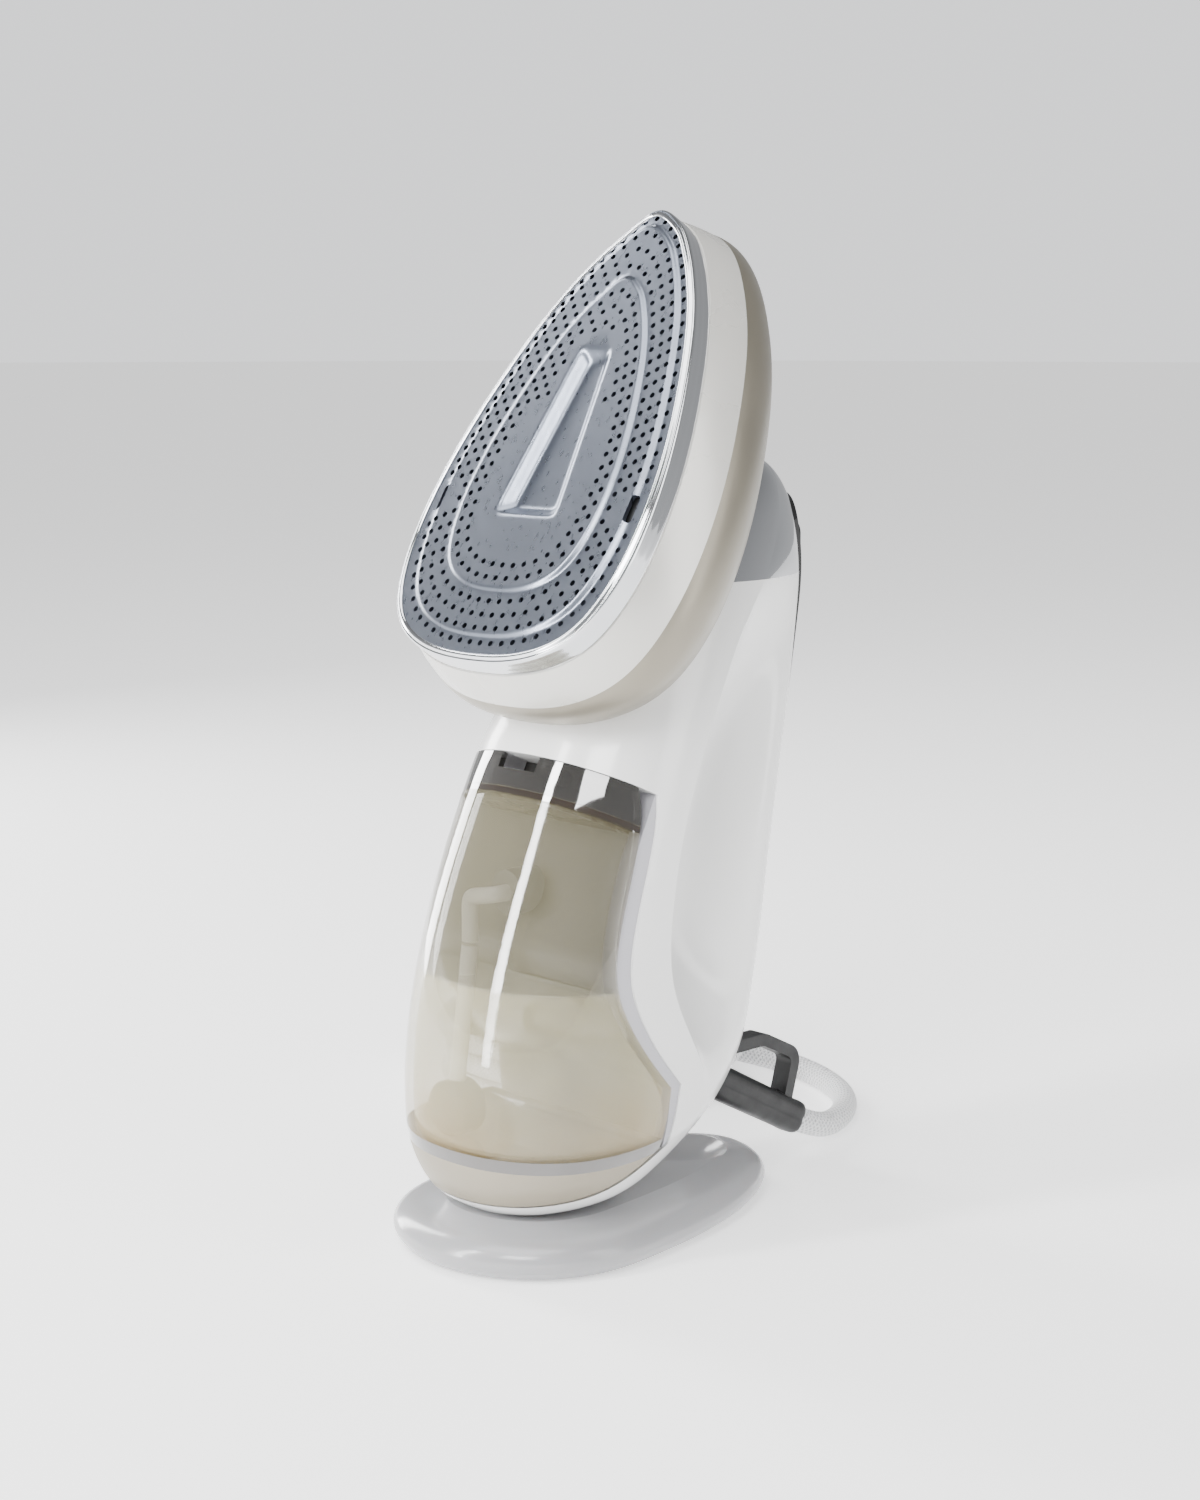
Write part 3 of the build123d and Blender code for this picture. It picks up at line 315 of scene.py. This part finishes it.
def clear_tank():
    """Straw-tinted clear SAN: faces seen straight on let most light through, edges seen at a
    grazing angle are deeper in colour, the part over the water is darker and less clear, which is painted
    shade standing in for the shaded bay seen through it, and the foot is amber. A smoked band runs under the
    sloping top, with a brown line under it and one at the base."""
    material = bpy.data.materials.new("straw clear SAN")
    material.use_nodes = True
    tree = material.node_tree
    tree.nodes.clear()
    edge = add(tree, "ShaderNodeLayerWeight", {"Blend": 0.30})
    depth = add(tree, "ShaderNodeMapRange", {
        "Value": edge.outputs["Facing"], "From Min": 0.0, "From Max": 1.0, "To Min": 0.11, "To Max": 0.75})
    place = add(tree, "ShaderNodeTexCoord").outputs["Object"]
    axes = add(tree, "ShaderNodeSeparateXYZ", {"Vector": place}).outputs
    height = axes[2]
    slope = add(tree, "ShaderNodeMath", {0: axes[1], 1: SEAM_FALL, 2: height},
                operation="MULTIPLY_ADD").outputs[0]
    band = add(tree, "ShaderNodeMath", {0: slope, 1: SEAM_TOP - BAND_DEEP},
               operation="GREATER_THAN").outputs[0]
    roof = add(tree, "ShaderNodeMath", {0: slope, 1: SEAM_TOP - BAND_DEEP - 1.1 * MM, 2: ROOF_LINE},
               operation="COMPARE").outputs[0]
    weld = add(tree, "ShaderNodeMath", {0: height, 1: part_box("tank_body")[0][2] + WELD_DEEP},
               operation="LESS_THAN").outputs[0]
    dark = add(tree, "ShaderNodeMath", {0: roof, 1: weld}, operation="MAXIMUM").outputs[0]
    foot = add(tree, "ShaderNodeMapRange", {
        "Value": height, "From Min": 30 * MM, "From Max": 52 * MM, "To Min": 0.9, "To Max": 0.0})
    # Painted shade: above the water line the tank is made darker and more opaque, standing in for the shaded
    # bay seen through the empty part.
    empty = add(tree, "ShaderNodeMapRange", {
        "Value": height, "From Min": WATER_LEVEL - 0.3 * MM, "From Max": WATER_LEVEL + 0.3 * MM,
        "To Min": 0.0, "To Max": 1.0})
    depth_and_headspace_shade = add(tree, "ShaderNodeMath", {0: empty.outputs[0], 1: 0.15, 2: depth.outputs[0]},
                  operation="MULTIPLY_ADD")
    smoked = add(tree, "ShaderNodeMath", {0: band, 1: 0.45, 2: depth_and_headspace_shade.outputs[0]}, operation="MULTIPLY_ADD")
    cover = add(tree, "ShaderNodeMath", {0: dark, 1: smoked.outputs[0]}, operation="MAXIMUM")
    ripple = add(tree, "ShaderNodeTexNoise", {"Vector": place, "Scale": 1 / (22 * MM), "Detail": 1.0})
    bump = add(tree, "ShaderNodeBump", {"Height": ripple.outputs[0], "Distance": 0.05 * MM})
    tint = add(tree, "ShaderNodeMix", {
        "Factor": ripple.outputs[0], 6: colour("#B3A870"), 7: colour("#A89C62")}, data_type="RGBA")
    # The second layer, #79735A over the water line, is painted shade; the others are the foot's amber, the
    # smoked band and the brown lines.
    layers = ((foot.outputs[0], "#B08F3E"), (empty.outputs[0], "#79735A"), (band, "#2E2C29"),
              (dark, "#22170C"))
    for share, shade in layers:
        tint = add(tree, "ShaderNodeMix", {"Factor": share, 6: tint.outputs[2], 7: colour(shade)},
                   data_type="RGBA")
    shader = add(tree, "ShaderNodeBsdfPrincipled", {
        "Base Color": tint.outputs[2], "Alpha": cover.outputs[0], "Normal": bump.outputs[0],
        "Roughness": 0.04, "IOR": 1.57, "Specular IOR Level": 1.0, "Coat Weight": 1.0, "Coat IOR": 1.8,
        "Coat Roughness": 0.02})
    add(tree, "ShaderNodeOutputMaterial", {"Surface": shader.outputs[0]})
    return material


def pressed_steel():
    """Stamped steel with a blue-grey satin coat: fine polishing lines along the plate, drawn ten
    times as coarse as they are so that they show."""
    material = bpy.data.materials.new("satin pressed steel")
    material.use_nodes = True
    tree = material.node_tree
    tree.nodes.clear()
    place = add(tree, "ShaderNodeTexCoord").outputs["Object"]
    turned = add(tree, "ShaderNodeMapping", {"Vector": place, "Rotation": (radians(-31.5), 0, 0),
                                             "Scale": (1.0, 1.0, 0.04)})
    lines = add(tree, "ShaderNodeTexNoise", {
        "Vector": turned.outputs[0], "Scale": 1 / (1.4 * MM), "Detail": 1.0})
    broad = add(tree, "ShaderNodeTexNoise", {"Vector": place, "Scale": 1 / (30 * MM), "Detail": 2.0})
    bump = add(tree, "ShaderNodeBump", {"Height": lines.outputs[0], "Distance": 0.0008 * MM})
    sheen = add(tree, "ShaderNodeMapRange", {
        "Value": lines.outputs[0], "From Min": 0.3, "From Max": 0.7, "To Min": 0.27, "To Max": 0.31})
    tint = add(tree, "ShaderNodeMix", {
        "Factor": broad.outputs[0], 6: colour("#838995"), 7: colour("#777D89")}, data_type="RGBA")
    shader = add(tree, "ShaderNodeBsdfPrincipled", {
        "Base Color": tint.outputs[2], "Roughness": sheen.outputs[0], "Normal": bump.outputs[0],
        "Metallic": 1.0})
    add(tree, "ShaderNodeOutputMaterial", {"Surface": shader.outputs[0]})
    return material


STRANDS = 12            # strands each way round the lead
STRAND_PITCH = 1.9 * MM


def white_braid():
    """Polyester braid: the larger of two sine waves that wind opposite ways round the lead, twelve
    waves round it and one every 1.9 mm along it, white with a soft thread sheen and painted shade that greys
    the hollows between the strands."""
    material = bpy.data.materials.new("white polyester braid")
    material.use_nodes = True
    tree = material.node_tree
    tree.nodes.clear()
    uv = add(tree, "ShaderNodeTexCoord").outputs["UV"]
    parts = add(tree, "ShaderNodeSeparateXYZ", {"Vector": uv}).outputs
    along = add(tree, "ShaderNodeMath", {0: parts[1], 1: 2 * pi / STRAND_PITCH}, operation="MULTIPLY")
    heights = []
    for way in (1, -1):
        phase = add(tree, "ShaderNodeMath", {0: parts[0], 1: way * STRANDS * 2 * pi, 2: along.outputs[0]},
                    operation="MULTIPLY_ADD")
        heights.append(add(tree, "ShaderNodeMath", {0: phase.outputs[0]}, operation="SINE").outputs[0])
    over = add(tree, "ShaderNodeMath", {0: heights[0], 1: heights[1]}, operation="MAXIMUM")
    bump = add(tree, "ShaderNodeBump", {"Height": over.outputs[0], "Distance": 0.25 * MM})
    # Painted shade: the braid's colour turns grey where the strands dip, in the hollows between them.
    shade = add(tree, "ShaderNodeMapRange", {
        "Value": over.outputs[0], "From Min": -0.6, "From Max": 0.6, "To Min": 0.0, "To Max": 1.0})
    tint = add(tree, "ShaderNodeMix", {
        "Factor": shade.outputs[0], 6: colour("#C3C3C6"), 7: colour("#F0F0F1")}, data_type="RGBA")
    shader = add(tree, "ShaderNodeBsdfPrincipled", {
        "Base Color": tint.outputs[2], "Normal": bump.outputs[0], "Roughness": 0.62, "IOR": 1.54,
        "Sheen Weight": 0.25, "Sheen Roughness": 0.4})
    add(tree, "ShaderNodeOutputMaterial", {"Surface": shader.outputs[0]})
    return material


# Still water with a straw cast from the tank round it.
clear_water = finish_of("still water", "#EDE9D6", {"IOR": 1.333, "Alpha": 0.22}, 30.0, 0.02, (0.03, 0.05),
                        0.05, 25.0)
tank_clear = clear_tank()
sole_steel = pressed_steel()
braid = white_braid()

FINISHES = {
    "main_housing": white_abs, "rear_grip_cover": white_abs, "neck_collar": chrome_plate,
    "control_panel": black_gloss, "bay_frame": grey_abs, "water_probe": plain_steel,
    "tank_body": tank_clear, "tank_base": taupe_abs, "tank_roof": brown_abs, "tank_valve": grey_nylon,
    "suction_elbow": milky_silicone, "suction_hose": milky_silicone, "intake_filter": dark_silicone,
    "tank_latch": grey_abs_dark, "soleplate": sole_steel, "boiler_plate": cast_aluminium,
    "heating_element": plain_steel, "steam_dome": cast_aluminium, "thermostat": plain_steel,
    "thermal_fuse": plain_steel, "boiler_screws": plain_steel, "sole_gasket": dark_silicone,
    "sole_rim": chrome_plate, "head_ring": pearl_lacquer, "heat_shield": mica_sheet,
    "head_bowl": champagne_lacquer, "neck_duct": grey_abs_dark, "steam_button": black_gloss,
    "power_button": black_gloss, "indicator_lens": blue_lens, "circuit_board": circuit_green,
    "button_switches": grey_abs_dark, "pump_body": grey_nylon, "pump_plunger": plain_steel,
    "inlet_tube": milky_silicone, "boiler_feed_tube": milky_silicone, "strain_relief": black_rubber,
    "hanging_loop": black_rubber, "cord_clamp": grey_abs_dark, "stand_shell": stand_abs,
    "foot_pad": foot_rubber, "cord": braid, "cord_coil": braid, "cord_tie": black_rubber,
    "plug": black_rubber, "plug_pins": pin_brass,
}
for node, finish in FINISHES.items():
    NODES[node].data.materials.clear()
    NODES[node].data.materials.append(finish)


# ---- the pressing face -------------------------------------------------------------------------
LEAN = radians(31.5)
ALONG = np.array((0, sin(LEAN), cos(LEAN)))
OUT = np.array((0, -cos(LEAN), sin(LEAN)))


def node_points(name):
    """All points of a CAD node."""
    flat = np.empty(3 * len(NODES[name].data.vertices))
    NODES[name].data.vertices.foreach_get("co", flat)
    return flat.reshape(-1, 3)


FINE = 1024             # angles at which an outline is smoothed
HARMONICS = 34


def face_outline(name, count):
    """Outline of a node seen square to the pressing face, as count points at even angles about its
    middle, and that middle: the hull's radius over the angle, with only its first harmonics kept."""
    points = node_points(name)
    flat = np.stack((points[:, 0], points @ ALONG), 1)
    middle = np.array((0, (flat[:, 1].min() + flat[:, 1].max()) / 2))
    hull = flat[convex_hull_2d(flat.tolist())] - middle
    angle = np.arctan2(hull[:, 1], hull[:, 0])
    order = np.argsort(angle)
    even = np.linspace(-pi, pi, FINE, endpoint=False)
    radius = np.interp(even, angle[order], np.hypot(*hull.T)[order], period=2 * pi)
    parts = np.fft.rfft(radius)
    parts[HARMONICS:] = 0
    radius = np.fft.irfft(parts, FINE)
    angle = np.linspace(-pi, pi, count, endpoint=False)
    radius = np.interp(angle, even, radius, period=2 * pi)
    return np.stack((radius * np.cos(angle), radius * np.sin(angle)), 1), middle[1]


def on_face(flat, height, middle):
    """Points in the shared frame from places on the face (across, up) and their height over it."""
    flat = np.asarray(flat)
    spot = (flat[..., 1] + middle)[..., None] * ALONG + np.asarray(height)[..., None] * OUT
    spot[..., 0] += flat[..., 0]
    return spot


RIM_OUTLINE, FACE_MIDDLE = face_outline("sole_rim", 360)
POCKET_DEEP = 2.6 * MM
FACE_LEVEL = (node_points("soleplate") @ OUT).max() - 2.6 * MM     # height of the plate's border


def ring_line(across, up, shift):
    """The rim's outline drawn in: shares of its width and height, and a shift up the face."""
    return RIM_OUTLINE * (across, up) + (0, shift)


OUTER_LINE = ring_line(0.845, 0.905, 0.8 * MM)
INNER_LINE = ring_line(0.620, 0.690, -1.2 * MM)
RIM_WIDE = 2.1 * MM    # how far the chromed rim covers the plate's edge
HOLE_RADIUS = 0.8 * MM
HOLE_PITCH = 3.9 * MM
HOLE_CORNERS = 12
POCKET = np.array(((-11.6, -26.5), (11.6, -26.5), (5.8, 24), (-5.8, 24))) * MM   # its corners
POCKET_ROUND = 0.9 * MM
SKIN = 1.2 * MM        # thickness of the plate


def between_lines(share):
    """Ring between the two pressed lines: 0 is the outer one and 1 the inner one."""
    return OUTER_LINE + (INNER_LINE - OUTER_LINE) * share


def pocket_depth(flat):
    """How far inside the pocket's outline a point lies: a soft least of the distances from its
    four sides, minus the log of the summed exponentials, which rounds its corners."""
    sides = np.roll(POCKET, -1, axis=0) - POCKET
    inward = np.stack((-sides[:, 1], sides[:, 0]), 1) / np.linalg.norm(sides, axis=1, keepdims=True)
    gaps = np.einsum("nkc,kc->nk", flat[:, None] - POCKET, inward)
    return -POCKET_ROUND * np.log(np.exp(-gaps / POCKET_ROUND).sum(axis=1))


def ease(x):
    """Smooth step from 0 to 1."""
    x = np.clip(x, 0, 1)
    return x * x * (3 - 2 * x)


def inside_lines(flat):
    """How far inside the outer and the inner pressed line a point lies, measured to the middle."""
    angle = np.arctan2(flat[:, 1], flat[:, 0])
    radius = np.hypot(*flat.T)
    lines = []
    for line in (OUTER_LINE, INNER_LINE):
        bearing = np.arctan2(line[:, 1], line[:, 0])
        order = np.argsort(bearing)
        lines.append(np.interp(angle, bearing[order], np.hypot(*line.T)[order], period=2 * pi))
    return lines[0] - radius, lines[1] - radius


def plate_height(flat):
    """Height of the plate: it steps up at each pressed line, which is a low bead, and steps down
    into the pocket."""
    outer, inner = inside_lines(flat)
    height = 0.9 * MM * ease(outer / (1.2 * MM)) + 0.8 * MM * ease(inner / (1.2 * MM))
    for gap in (outer, inner):
        height = height + 0.45 * MM * np.exp(-((gap - 0.3 * MM) / (0.55 * MM)) ** 2)
    return height - POCKET_DEEP * ease((pocket_depth(flat) + 0.4 * MM) / (4.2 * MM))


def spread(line, pitch, offset):
    """Points along a closed line, a pitch apart, the first one an offset along."""
    closed = np.vstack((line, line[:1]))
    along = np.concatenate(([0], np.cumsum(np.linalg.norm(np.diff(closed, axis=0), axis=1))))
    count = int(round(along[-1] / pitch))
    at = (np.arange(count) + offset) * along[-1] / count
    return np.stack([np.interp(at, along, closed[:, c]) for c in (0, 1)], 1)


SLOT_HALF = np.array((1.15, 3.9)) * MM                  # half a slot's width and length
SLOT_STRAIGHT = np.array((0, SLOT_HALF[1] - SLOT_HALF[0]))   # to where its round end starts
SLOT_LOW = 22 * MM                                      # how far below the middle they lie
SLIVER = 1e-13                                          # least area of a triangle, square metres


def slot_places():
    """Middles of the two slots, which lie on the outer pressed line."""
    right = OUTER_LINE[OUTER_LINE[:, 0] > 0]
    across = np.interp(-SLOT_LOW, right[:, 1], right[:, 0])
    return np.array(((across, -SLOT_LOW), (-across, -SLOT_LOW)))


def steam_holes():
    """Staggered rows of holes that follow the pressed lines, the innermost rows only near the tip."""
    rows = []
    for i, share in enumerate((-0.14, 0.16, 0.46, 0.77, 1.26, 1.56, 1.86, 2.16, 2.46)):
        row = spread(between_lines(share), HOLE_PITCH, 0.5 * (i % 2))
        if share > 1.6:
            row = row[row[:, 1] > 6 * MM]
        rows.append(row)
    holes = np.vstack(rows)
    holes = holes[pocket_depth(holes) < -3.4 * MM]
    for slot in slot_places():
        holes = holes[np.hypot(*(holes - slot).T) > 5.4 * MM]
    gaps = np.hypot(*(holes[:, None] - holes[None]).transpose(2, 0, 1))
    gaps[np.triu_indices(len(holes))] = 1
    return holes[gaps.min(axis=1) > 2.6 * MM]


def plate_loops(holes):
    """Closed lines of the plate: its border, its round holes and its two round-ended slots."""
    turn = np.linspace(0, 2 * pi, HOLE_CORNERS, endpoint=False)
    circle = HOLE_RADIUS * np.stack((np.cos(turn), np.sin(turn)), 1)
    arch = np.linspace(0, pi, 8)
    cap = SLOT_HALF[0] * np.stack((np.cos(arch), np.sin(arch)), 1)
    slot = np.vstack((cap + SLOT_STRAIGHT, -cap - SLOT_STRAIGHT))
    border = RIM_OUTLINE - outward(RIM_OUTLINE) * RIM_WIDE
    return [border] + [hole + circle for hole in holes] + [place + slot for place in slot_places()]


def hole_gaps(points, holes):
    """Distance from each point to the middle of the nearest hole, a block of holes at a time."""
    nearest = np.full(len(points), np.inf)
    for start in range(0, len(holes), 64):
        apart = points[:, None] - holes[None, start:start + 64]
        nearest = np.minimum(nearest, np.hypot(*apart.transpose(2, 0, 1)).min(axis=1))
    return nearest


def loose_points(holes):
    """Points that carry the plate's relief: rings by each pressed line and between the lines, and
    a grid over the pocket, all clear of the holes and slots."""
    loose = []
    for line in (OUTER_LINE, INNER_LINE):
        unit = line / np.hypot(*line.T)[:, None]
        loose += [line - unit * gap * MM for gap in (-0.8, -0.4, -0.1, 0.3, 0.7, 1.2, 1.7)]
    loose += [between_lines(share)[::3] for share in (-0.3, 0.3, 0.6, 0.9, 1.4, 1.7, 2.0, 2.4)]
    x, y = np.meshgrid(np.arange(-12.5, 12.6, 0.7), np.arange(-27.5, 25, 0.8))
    loose.append(np.stack((x.ravel(), y.ravel()), 1) * MM)
    loose = np.vstack(loose)
    clear = hole_gaps(loose, holes) > HOLE_RADIUS + 0.12 * MM
    for place in slot_places():
        clear &= np.any(np.abs(loose - place) > SLOT_HALF + 0.25 * MM, axis=1)
    return loose[clear]


def plate_triangles(loops, loose, holes):
    """Flat triangles between the loops and the loose points, all turned anticlockwise, without
    those inside a hole or a slot and without slivers."""
    edges, first = [], 0
    for loop in loops:
        count = len(loop)
        edges += [(first + i, first + (i + 1) % count) for i in range(count)]
        first += count
    points = np.vstack(loops + [loose]) / MM
    out = delaunay_2d_cdt([Vector(p) for p in points.tolist()], edges, [], 0, 1e-5)
    flat = np.array([tuple(p) for p in out[0]]) * MM
    triangles = np.array(out[2])
    centre = flat[triangles].mean(axis=1)
    keep = hole_gaps(centre, holes) > HOLE_RADIUS * 0.97
    for place in slot_places():
        reach = np.abs(centre - place)
        ends = np.hypot(reach[:, 0], np.maximum(reach[:, 1] - SLOT_STRAIGHT[1], 0))
        keep &= ends > SLOT_HALF[0] * 0.99
    triangles = triangles[keep]
    a, b, c = (flat[triangles[:, k]] for k in (0, 1, 2))
    area = np.cross(b - a, c - a)
    triangles[area < 0] = triangles[area < 0][:, ::-1]
    return flat, triangles[np.abs(area) > SLIVER]


def make_soleplate():
    """The pressed skin: flat triangles raised by plate_height, with a second layer a skin's
    thickness behind them and walls that join the two."""
    holes = steam_holes()
    flat, triangles = plate_triangles(plate_loops(holes), loose_points(holes), holes)
    front = on_face(flat, FACE_LEVEL + plate_height(flat), FACE_MIDDLE)
    back = front - SKIN * OUT
    sides = np.vstack((triangles[:, (0, 1)], triangles[:, (1, 2)], triangles[:, (2, 0)]))
    known = {tuple(side) for side in sides.tolist()}
    border = np.array([side for side in known if side[::-1] not in known])
    total = len(flat)
    walls = np.stack((border[:, 1], border[:, 0], border[:, 0] + total, border[:, 1] + total), 1)
    faces = triangles.tolist() + (triangles[:, ::-1] + total).tolist() + walls.tolist()
    piece = mesh_piece("pressed_soleplate", np.vstack((front, back)), faces, sole_steel)
    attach(piece, "steamer")
    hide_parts("soleplate")


def make_rim():
    """Chromed rim: one closed profile (how far out from the outline, how far in front of the
    border) carried round the outline."""
    profile = np.array((
        (-2.7, -1.2), (-2.55, -0.2), (-2.1, 0.28), (-1.6, 0.32), (-1.15, 0.0), (-0.85, -0.22), (-0.45, -0.3),
        (-0.1, -0.9), (0.0, -2.2), (0.1, -4.0), (0.05, -6.4), (-1.6, -6.5), (-3.2, -4.5))) * MM
    fine = closed_spline(profile, 96)
    unit = outward(RIM_OUTLINE)
    flat = RIM_OUTLINE[:, None] + unit[:, None] * fine[None, :, :1]
    height = np.broadcast_to(FACE_LEVEL + fine[None, :, 1], flat.shape[:2])
    points = on_face(flat, height, FACE_MIDDLE)
    faces = grid_faces(len(RIM_OUTLINE), len(fine), close_rows=True)
    piece = mesh_piece("beaded_rim", points, faces, chrome_plate)
    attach(piece, "steamer")
    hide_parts("sole_rim")


def closed_spline(points, count):
    """Smooth closed line through points: uniform Catmull-Rom cubics, count points in all."""
    t = np.linspace(0, len(points), count, endpoint=False)
    i, f = t.astype(int), (t % 1)[:, None]
    a, b, c, d = (points[(i + k) % len(points)] for k in (-1, 0, 1, 2))
    return b + f * ((c - a) / 2 + f * ((a - 2.5 * b + 2 * c - d / 2) + f * (1.5 * (b - c) + (d - a) / 2)))


def outward(line):
    """Unit vectors square to a closed anticlockwise line, pointing out of it."""
    run = np.roll(line, -1, axis=0) - np.roll(line, 1, axis=0)
    run /= np.linalg.norm(run, axis=1, keepdims=True)
    return np.stack((run[:, 1], -run[:, 0]), 1)


make_soleplate()
make_rim()


# ---- water tank ------------------------------------------------------------------------------------
SHELL = 2.3 * MM       # from the tank's outside to the water
LINE_POWER = 2.15      # roundness of the tank's front


def tank_lines():
    """Smooth front, side and rear lines of the tank: quartics in height through the outermost
    points of the CAD tank in 3 mm slices."""
    points = node_points("tank_body")
    low, high = points[:, 2].min(), points[:, 2].max()
    levels = np.arange(low, high - 22 * MM, 3 * MM)
    slices = [points[np.abs(points[:, 2] - level) < 2.5 * MM] for level in levels]
    kept = [(level, part) for level, part in zip(levels, slices) if len(part) > 8]
    heights = np.array([level for level, _ in kept])
    front = [part[:, 1].min() for _, part in kept]
    side = [np.abs(part[:, 0]).max() for _, part in kept]
    rear = [part[:, 1].max() for _, part in kept]
    return [np.polyfit(heights, line, 4) for line in (front, side, rear)]


FRONT_LINE, SIDE_LINE, REAR_LINE = tank_lines()
WIDEST = 28 * MM       # from the front to where the tank is widest


def tank_wall(share, height, inset):
    """Place on the tank's wall: share runs from the right rear edge (0) round the front (0.5) to
    the left (1), as a quarter superellipse on each side whose middle is the widest place."""
    front = np.polyval(FRONT_LINE, height) + inset
    side = np.polyval(SIDE_LINE, height) - inset
    widest = front + WIDEST
    turn = pi * share
    x = side * np.sign(np.cos(turn)) * np.abs(np.cos(turn)) ** (2 / LINE_POWER)
    y = widest - (widest - front) * np.abs(np.sin(turn)) ** (2 / LINE_POWER)
    return np.stack(np.broadcast_arrays(x, y, height), -1)


def make_water():
    """Water up to its level: rings of the tank's inner wall with a straight rear side, and a
    surface that climbs a little where it meets the wall."""
    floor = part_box("tank_body")[0][2] + SHELL
    heights = np.concatenate((np.linspace(floor, WATER_LEVEL, 22), (WATER_LEVEL - 0.7 * MM,)))
    insets = np.full(23, SHELL)
    insets[-1] += 1.3 * MM
    share = np.linspace(0, 1, 72)
    wall = tank_wall(share[None], heights[:, None], insets[:, None])
    rear = np.polyval(REAR_LINE, heights) - insets - 1.2 * MM
    corner = wall[:, 0, 1]
    steps = np.linspace(0, 1, 9)[1:]
    left = np.stack(np.broadcast_arrays(wall[:, -1:, 0], corner[:, None] + (rear - corner)[:, None] * steps,
                                        heights[:, None]), -1)
    right = left[:, ::-1] * (-1, 1, 1)
    rings = np.concatenate((wall, left, right), 1)
    count = rings.shape[1]
    faces = grid_faces(len(heights), count)
    faces += [list(range(count)), list(range((len(heights) - 1) * count, len(heights) * count))[::-1]]
    piece = mesh_piece("tank_water", rings, [face[::-1] for face in faces], clear_water)
    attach(piece, "tank")


make_water()


# ---- strain relief and cord ----------------------------------------------------------------------
SLEEVE_ROOT = (0, 47.0, 28.2)   # place inside the body that the sleeve points away from, in mm
SLEEVE_LENGTH = 42 * MM
SQUARE = 3.2                    # power of its section: 2 is round and more is squarer


def make_strain_relief():
    """Tapered rubber sleeve: radius falls along its axis, with a lip at the end, a section between
    a circle and a square, and a seam line pressed into each side."""
    end = np.array(ROUTE[0]) * MM
    run = np.array(ROUTE[0]) - SLEEVE_ROOT
    run /= np.linalg.norm(run)
    share = np.array((0, 0.02, 0.08, 0.2, 0.35, 0.5, 0.65, 0.78, 0.9, 0.955, 0.985, 0.998, 1.0, 1.0))
    radii = np.array((4.9, 5.3, 5.45, 5.4, 5.35, 5.3, 5.25, 5.2, 5.2, 5.3, 5.2, 4.8, 4.2, 3.9)) * MM
    line = end - run * SLEEVE_LENGTH * (1 - share[:, None]) + 1.2 * MM * run
    line[-1] += 0.02 * MM * run
    turn = np.linspace(0, 2 * pi, 48, endpoint=False)
    groove = 1 - 0.07 * np.exp(-((np.abs(np.cos(turn)) - 1) / 0.012) ** 2)
    square = 0.94 * (np.abs(np.cos(turn)) ** SQUARE + np.abs(np.sin(turn)) ** SQUARE) ** (-1 / SQUARE)
    piece = tube_piece("strain_sleeve", line, radii[:, None] * (groove * square)[None], 48, black_rubber)
    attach(piece, "steamer")
    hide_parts("strain_relief")
    return piece


sleeve = make_strain_relief()
CORD_PATH = cord_line()
lead = tube_piece("mains_lead", CORD_PATH, np.full(len(CORD_PATH), CORD_DIAMETER / 2), CORD_RIDGES,
                  braid)
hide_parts("cord", "cord_coil")
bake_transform(lead)


# ---- floor ------------------------------------------------------------------------------------------
def make_floor():
    """Plain pale floor."""
    material = finish_of("pale studio floor", "#F4F4F4", {
        "IOR": 1.4, "Specular IOR Level": 0.1, "Emission Color": (1, 1, 1, 1), "Emission Strength": 0.9},
        40.0, 0.01, (0.8, 0.9), 0.01, 200.0)
    size = 40.0
    points = [(-size, -size, 0), (size, -size, 0), (size, size, 0), (-size, size, 0)]
    mesh_piece("studio_floor", points, [(0, 1, 2, 3)], material)


make_floor()


def make_studio():
    """White room: even pale light low down that falls to a soft grey overhead, and a plain white
    backdrop behind the object."""
    world = bpy.data.worlds.new("studio")
    world.use_nodes = True
    tree = world.node_tree
    tree.nodes.clear()
    ray = add(tree, "ShaderNodeTexCoord").outputs["Generated"]
    height = add(tree, "ShaderNodeSeparateXYZ", {"Vector": ray}).outputs[2]
    room = add(tree, "ShaderNodeMapRange", {
        "Value": height, "From Min": 0.0, "From Max": 0.9, "To Min": 0.58, "To Max": 0.24})
    seen = add(tree, "ShaderNodeLightPath").outputs["Is Camera Ray"]
    level = add(tree, "ShaderNodeMix", {"Factor": seen, 2: room.outputs[0], 3: 1.42}, data_type="FLOAT")
    glow = add(tree, "ShaderNodeBackground", {"Color": colour("#F6F7F9"), "Strength": level.outputs[0]})
    add(tree, "ShaderNodeOutputWorld", {"Surface": glow.outputs[0]})
    bpy.context.scene.world = world


make_studio()
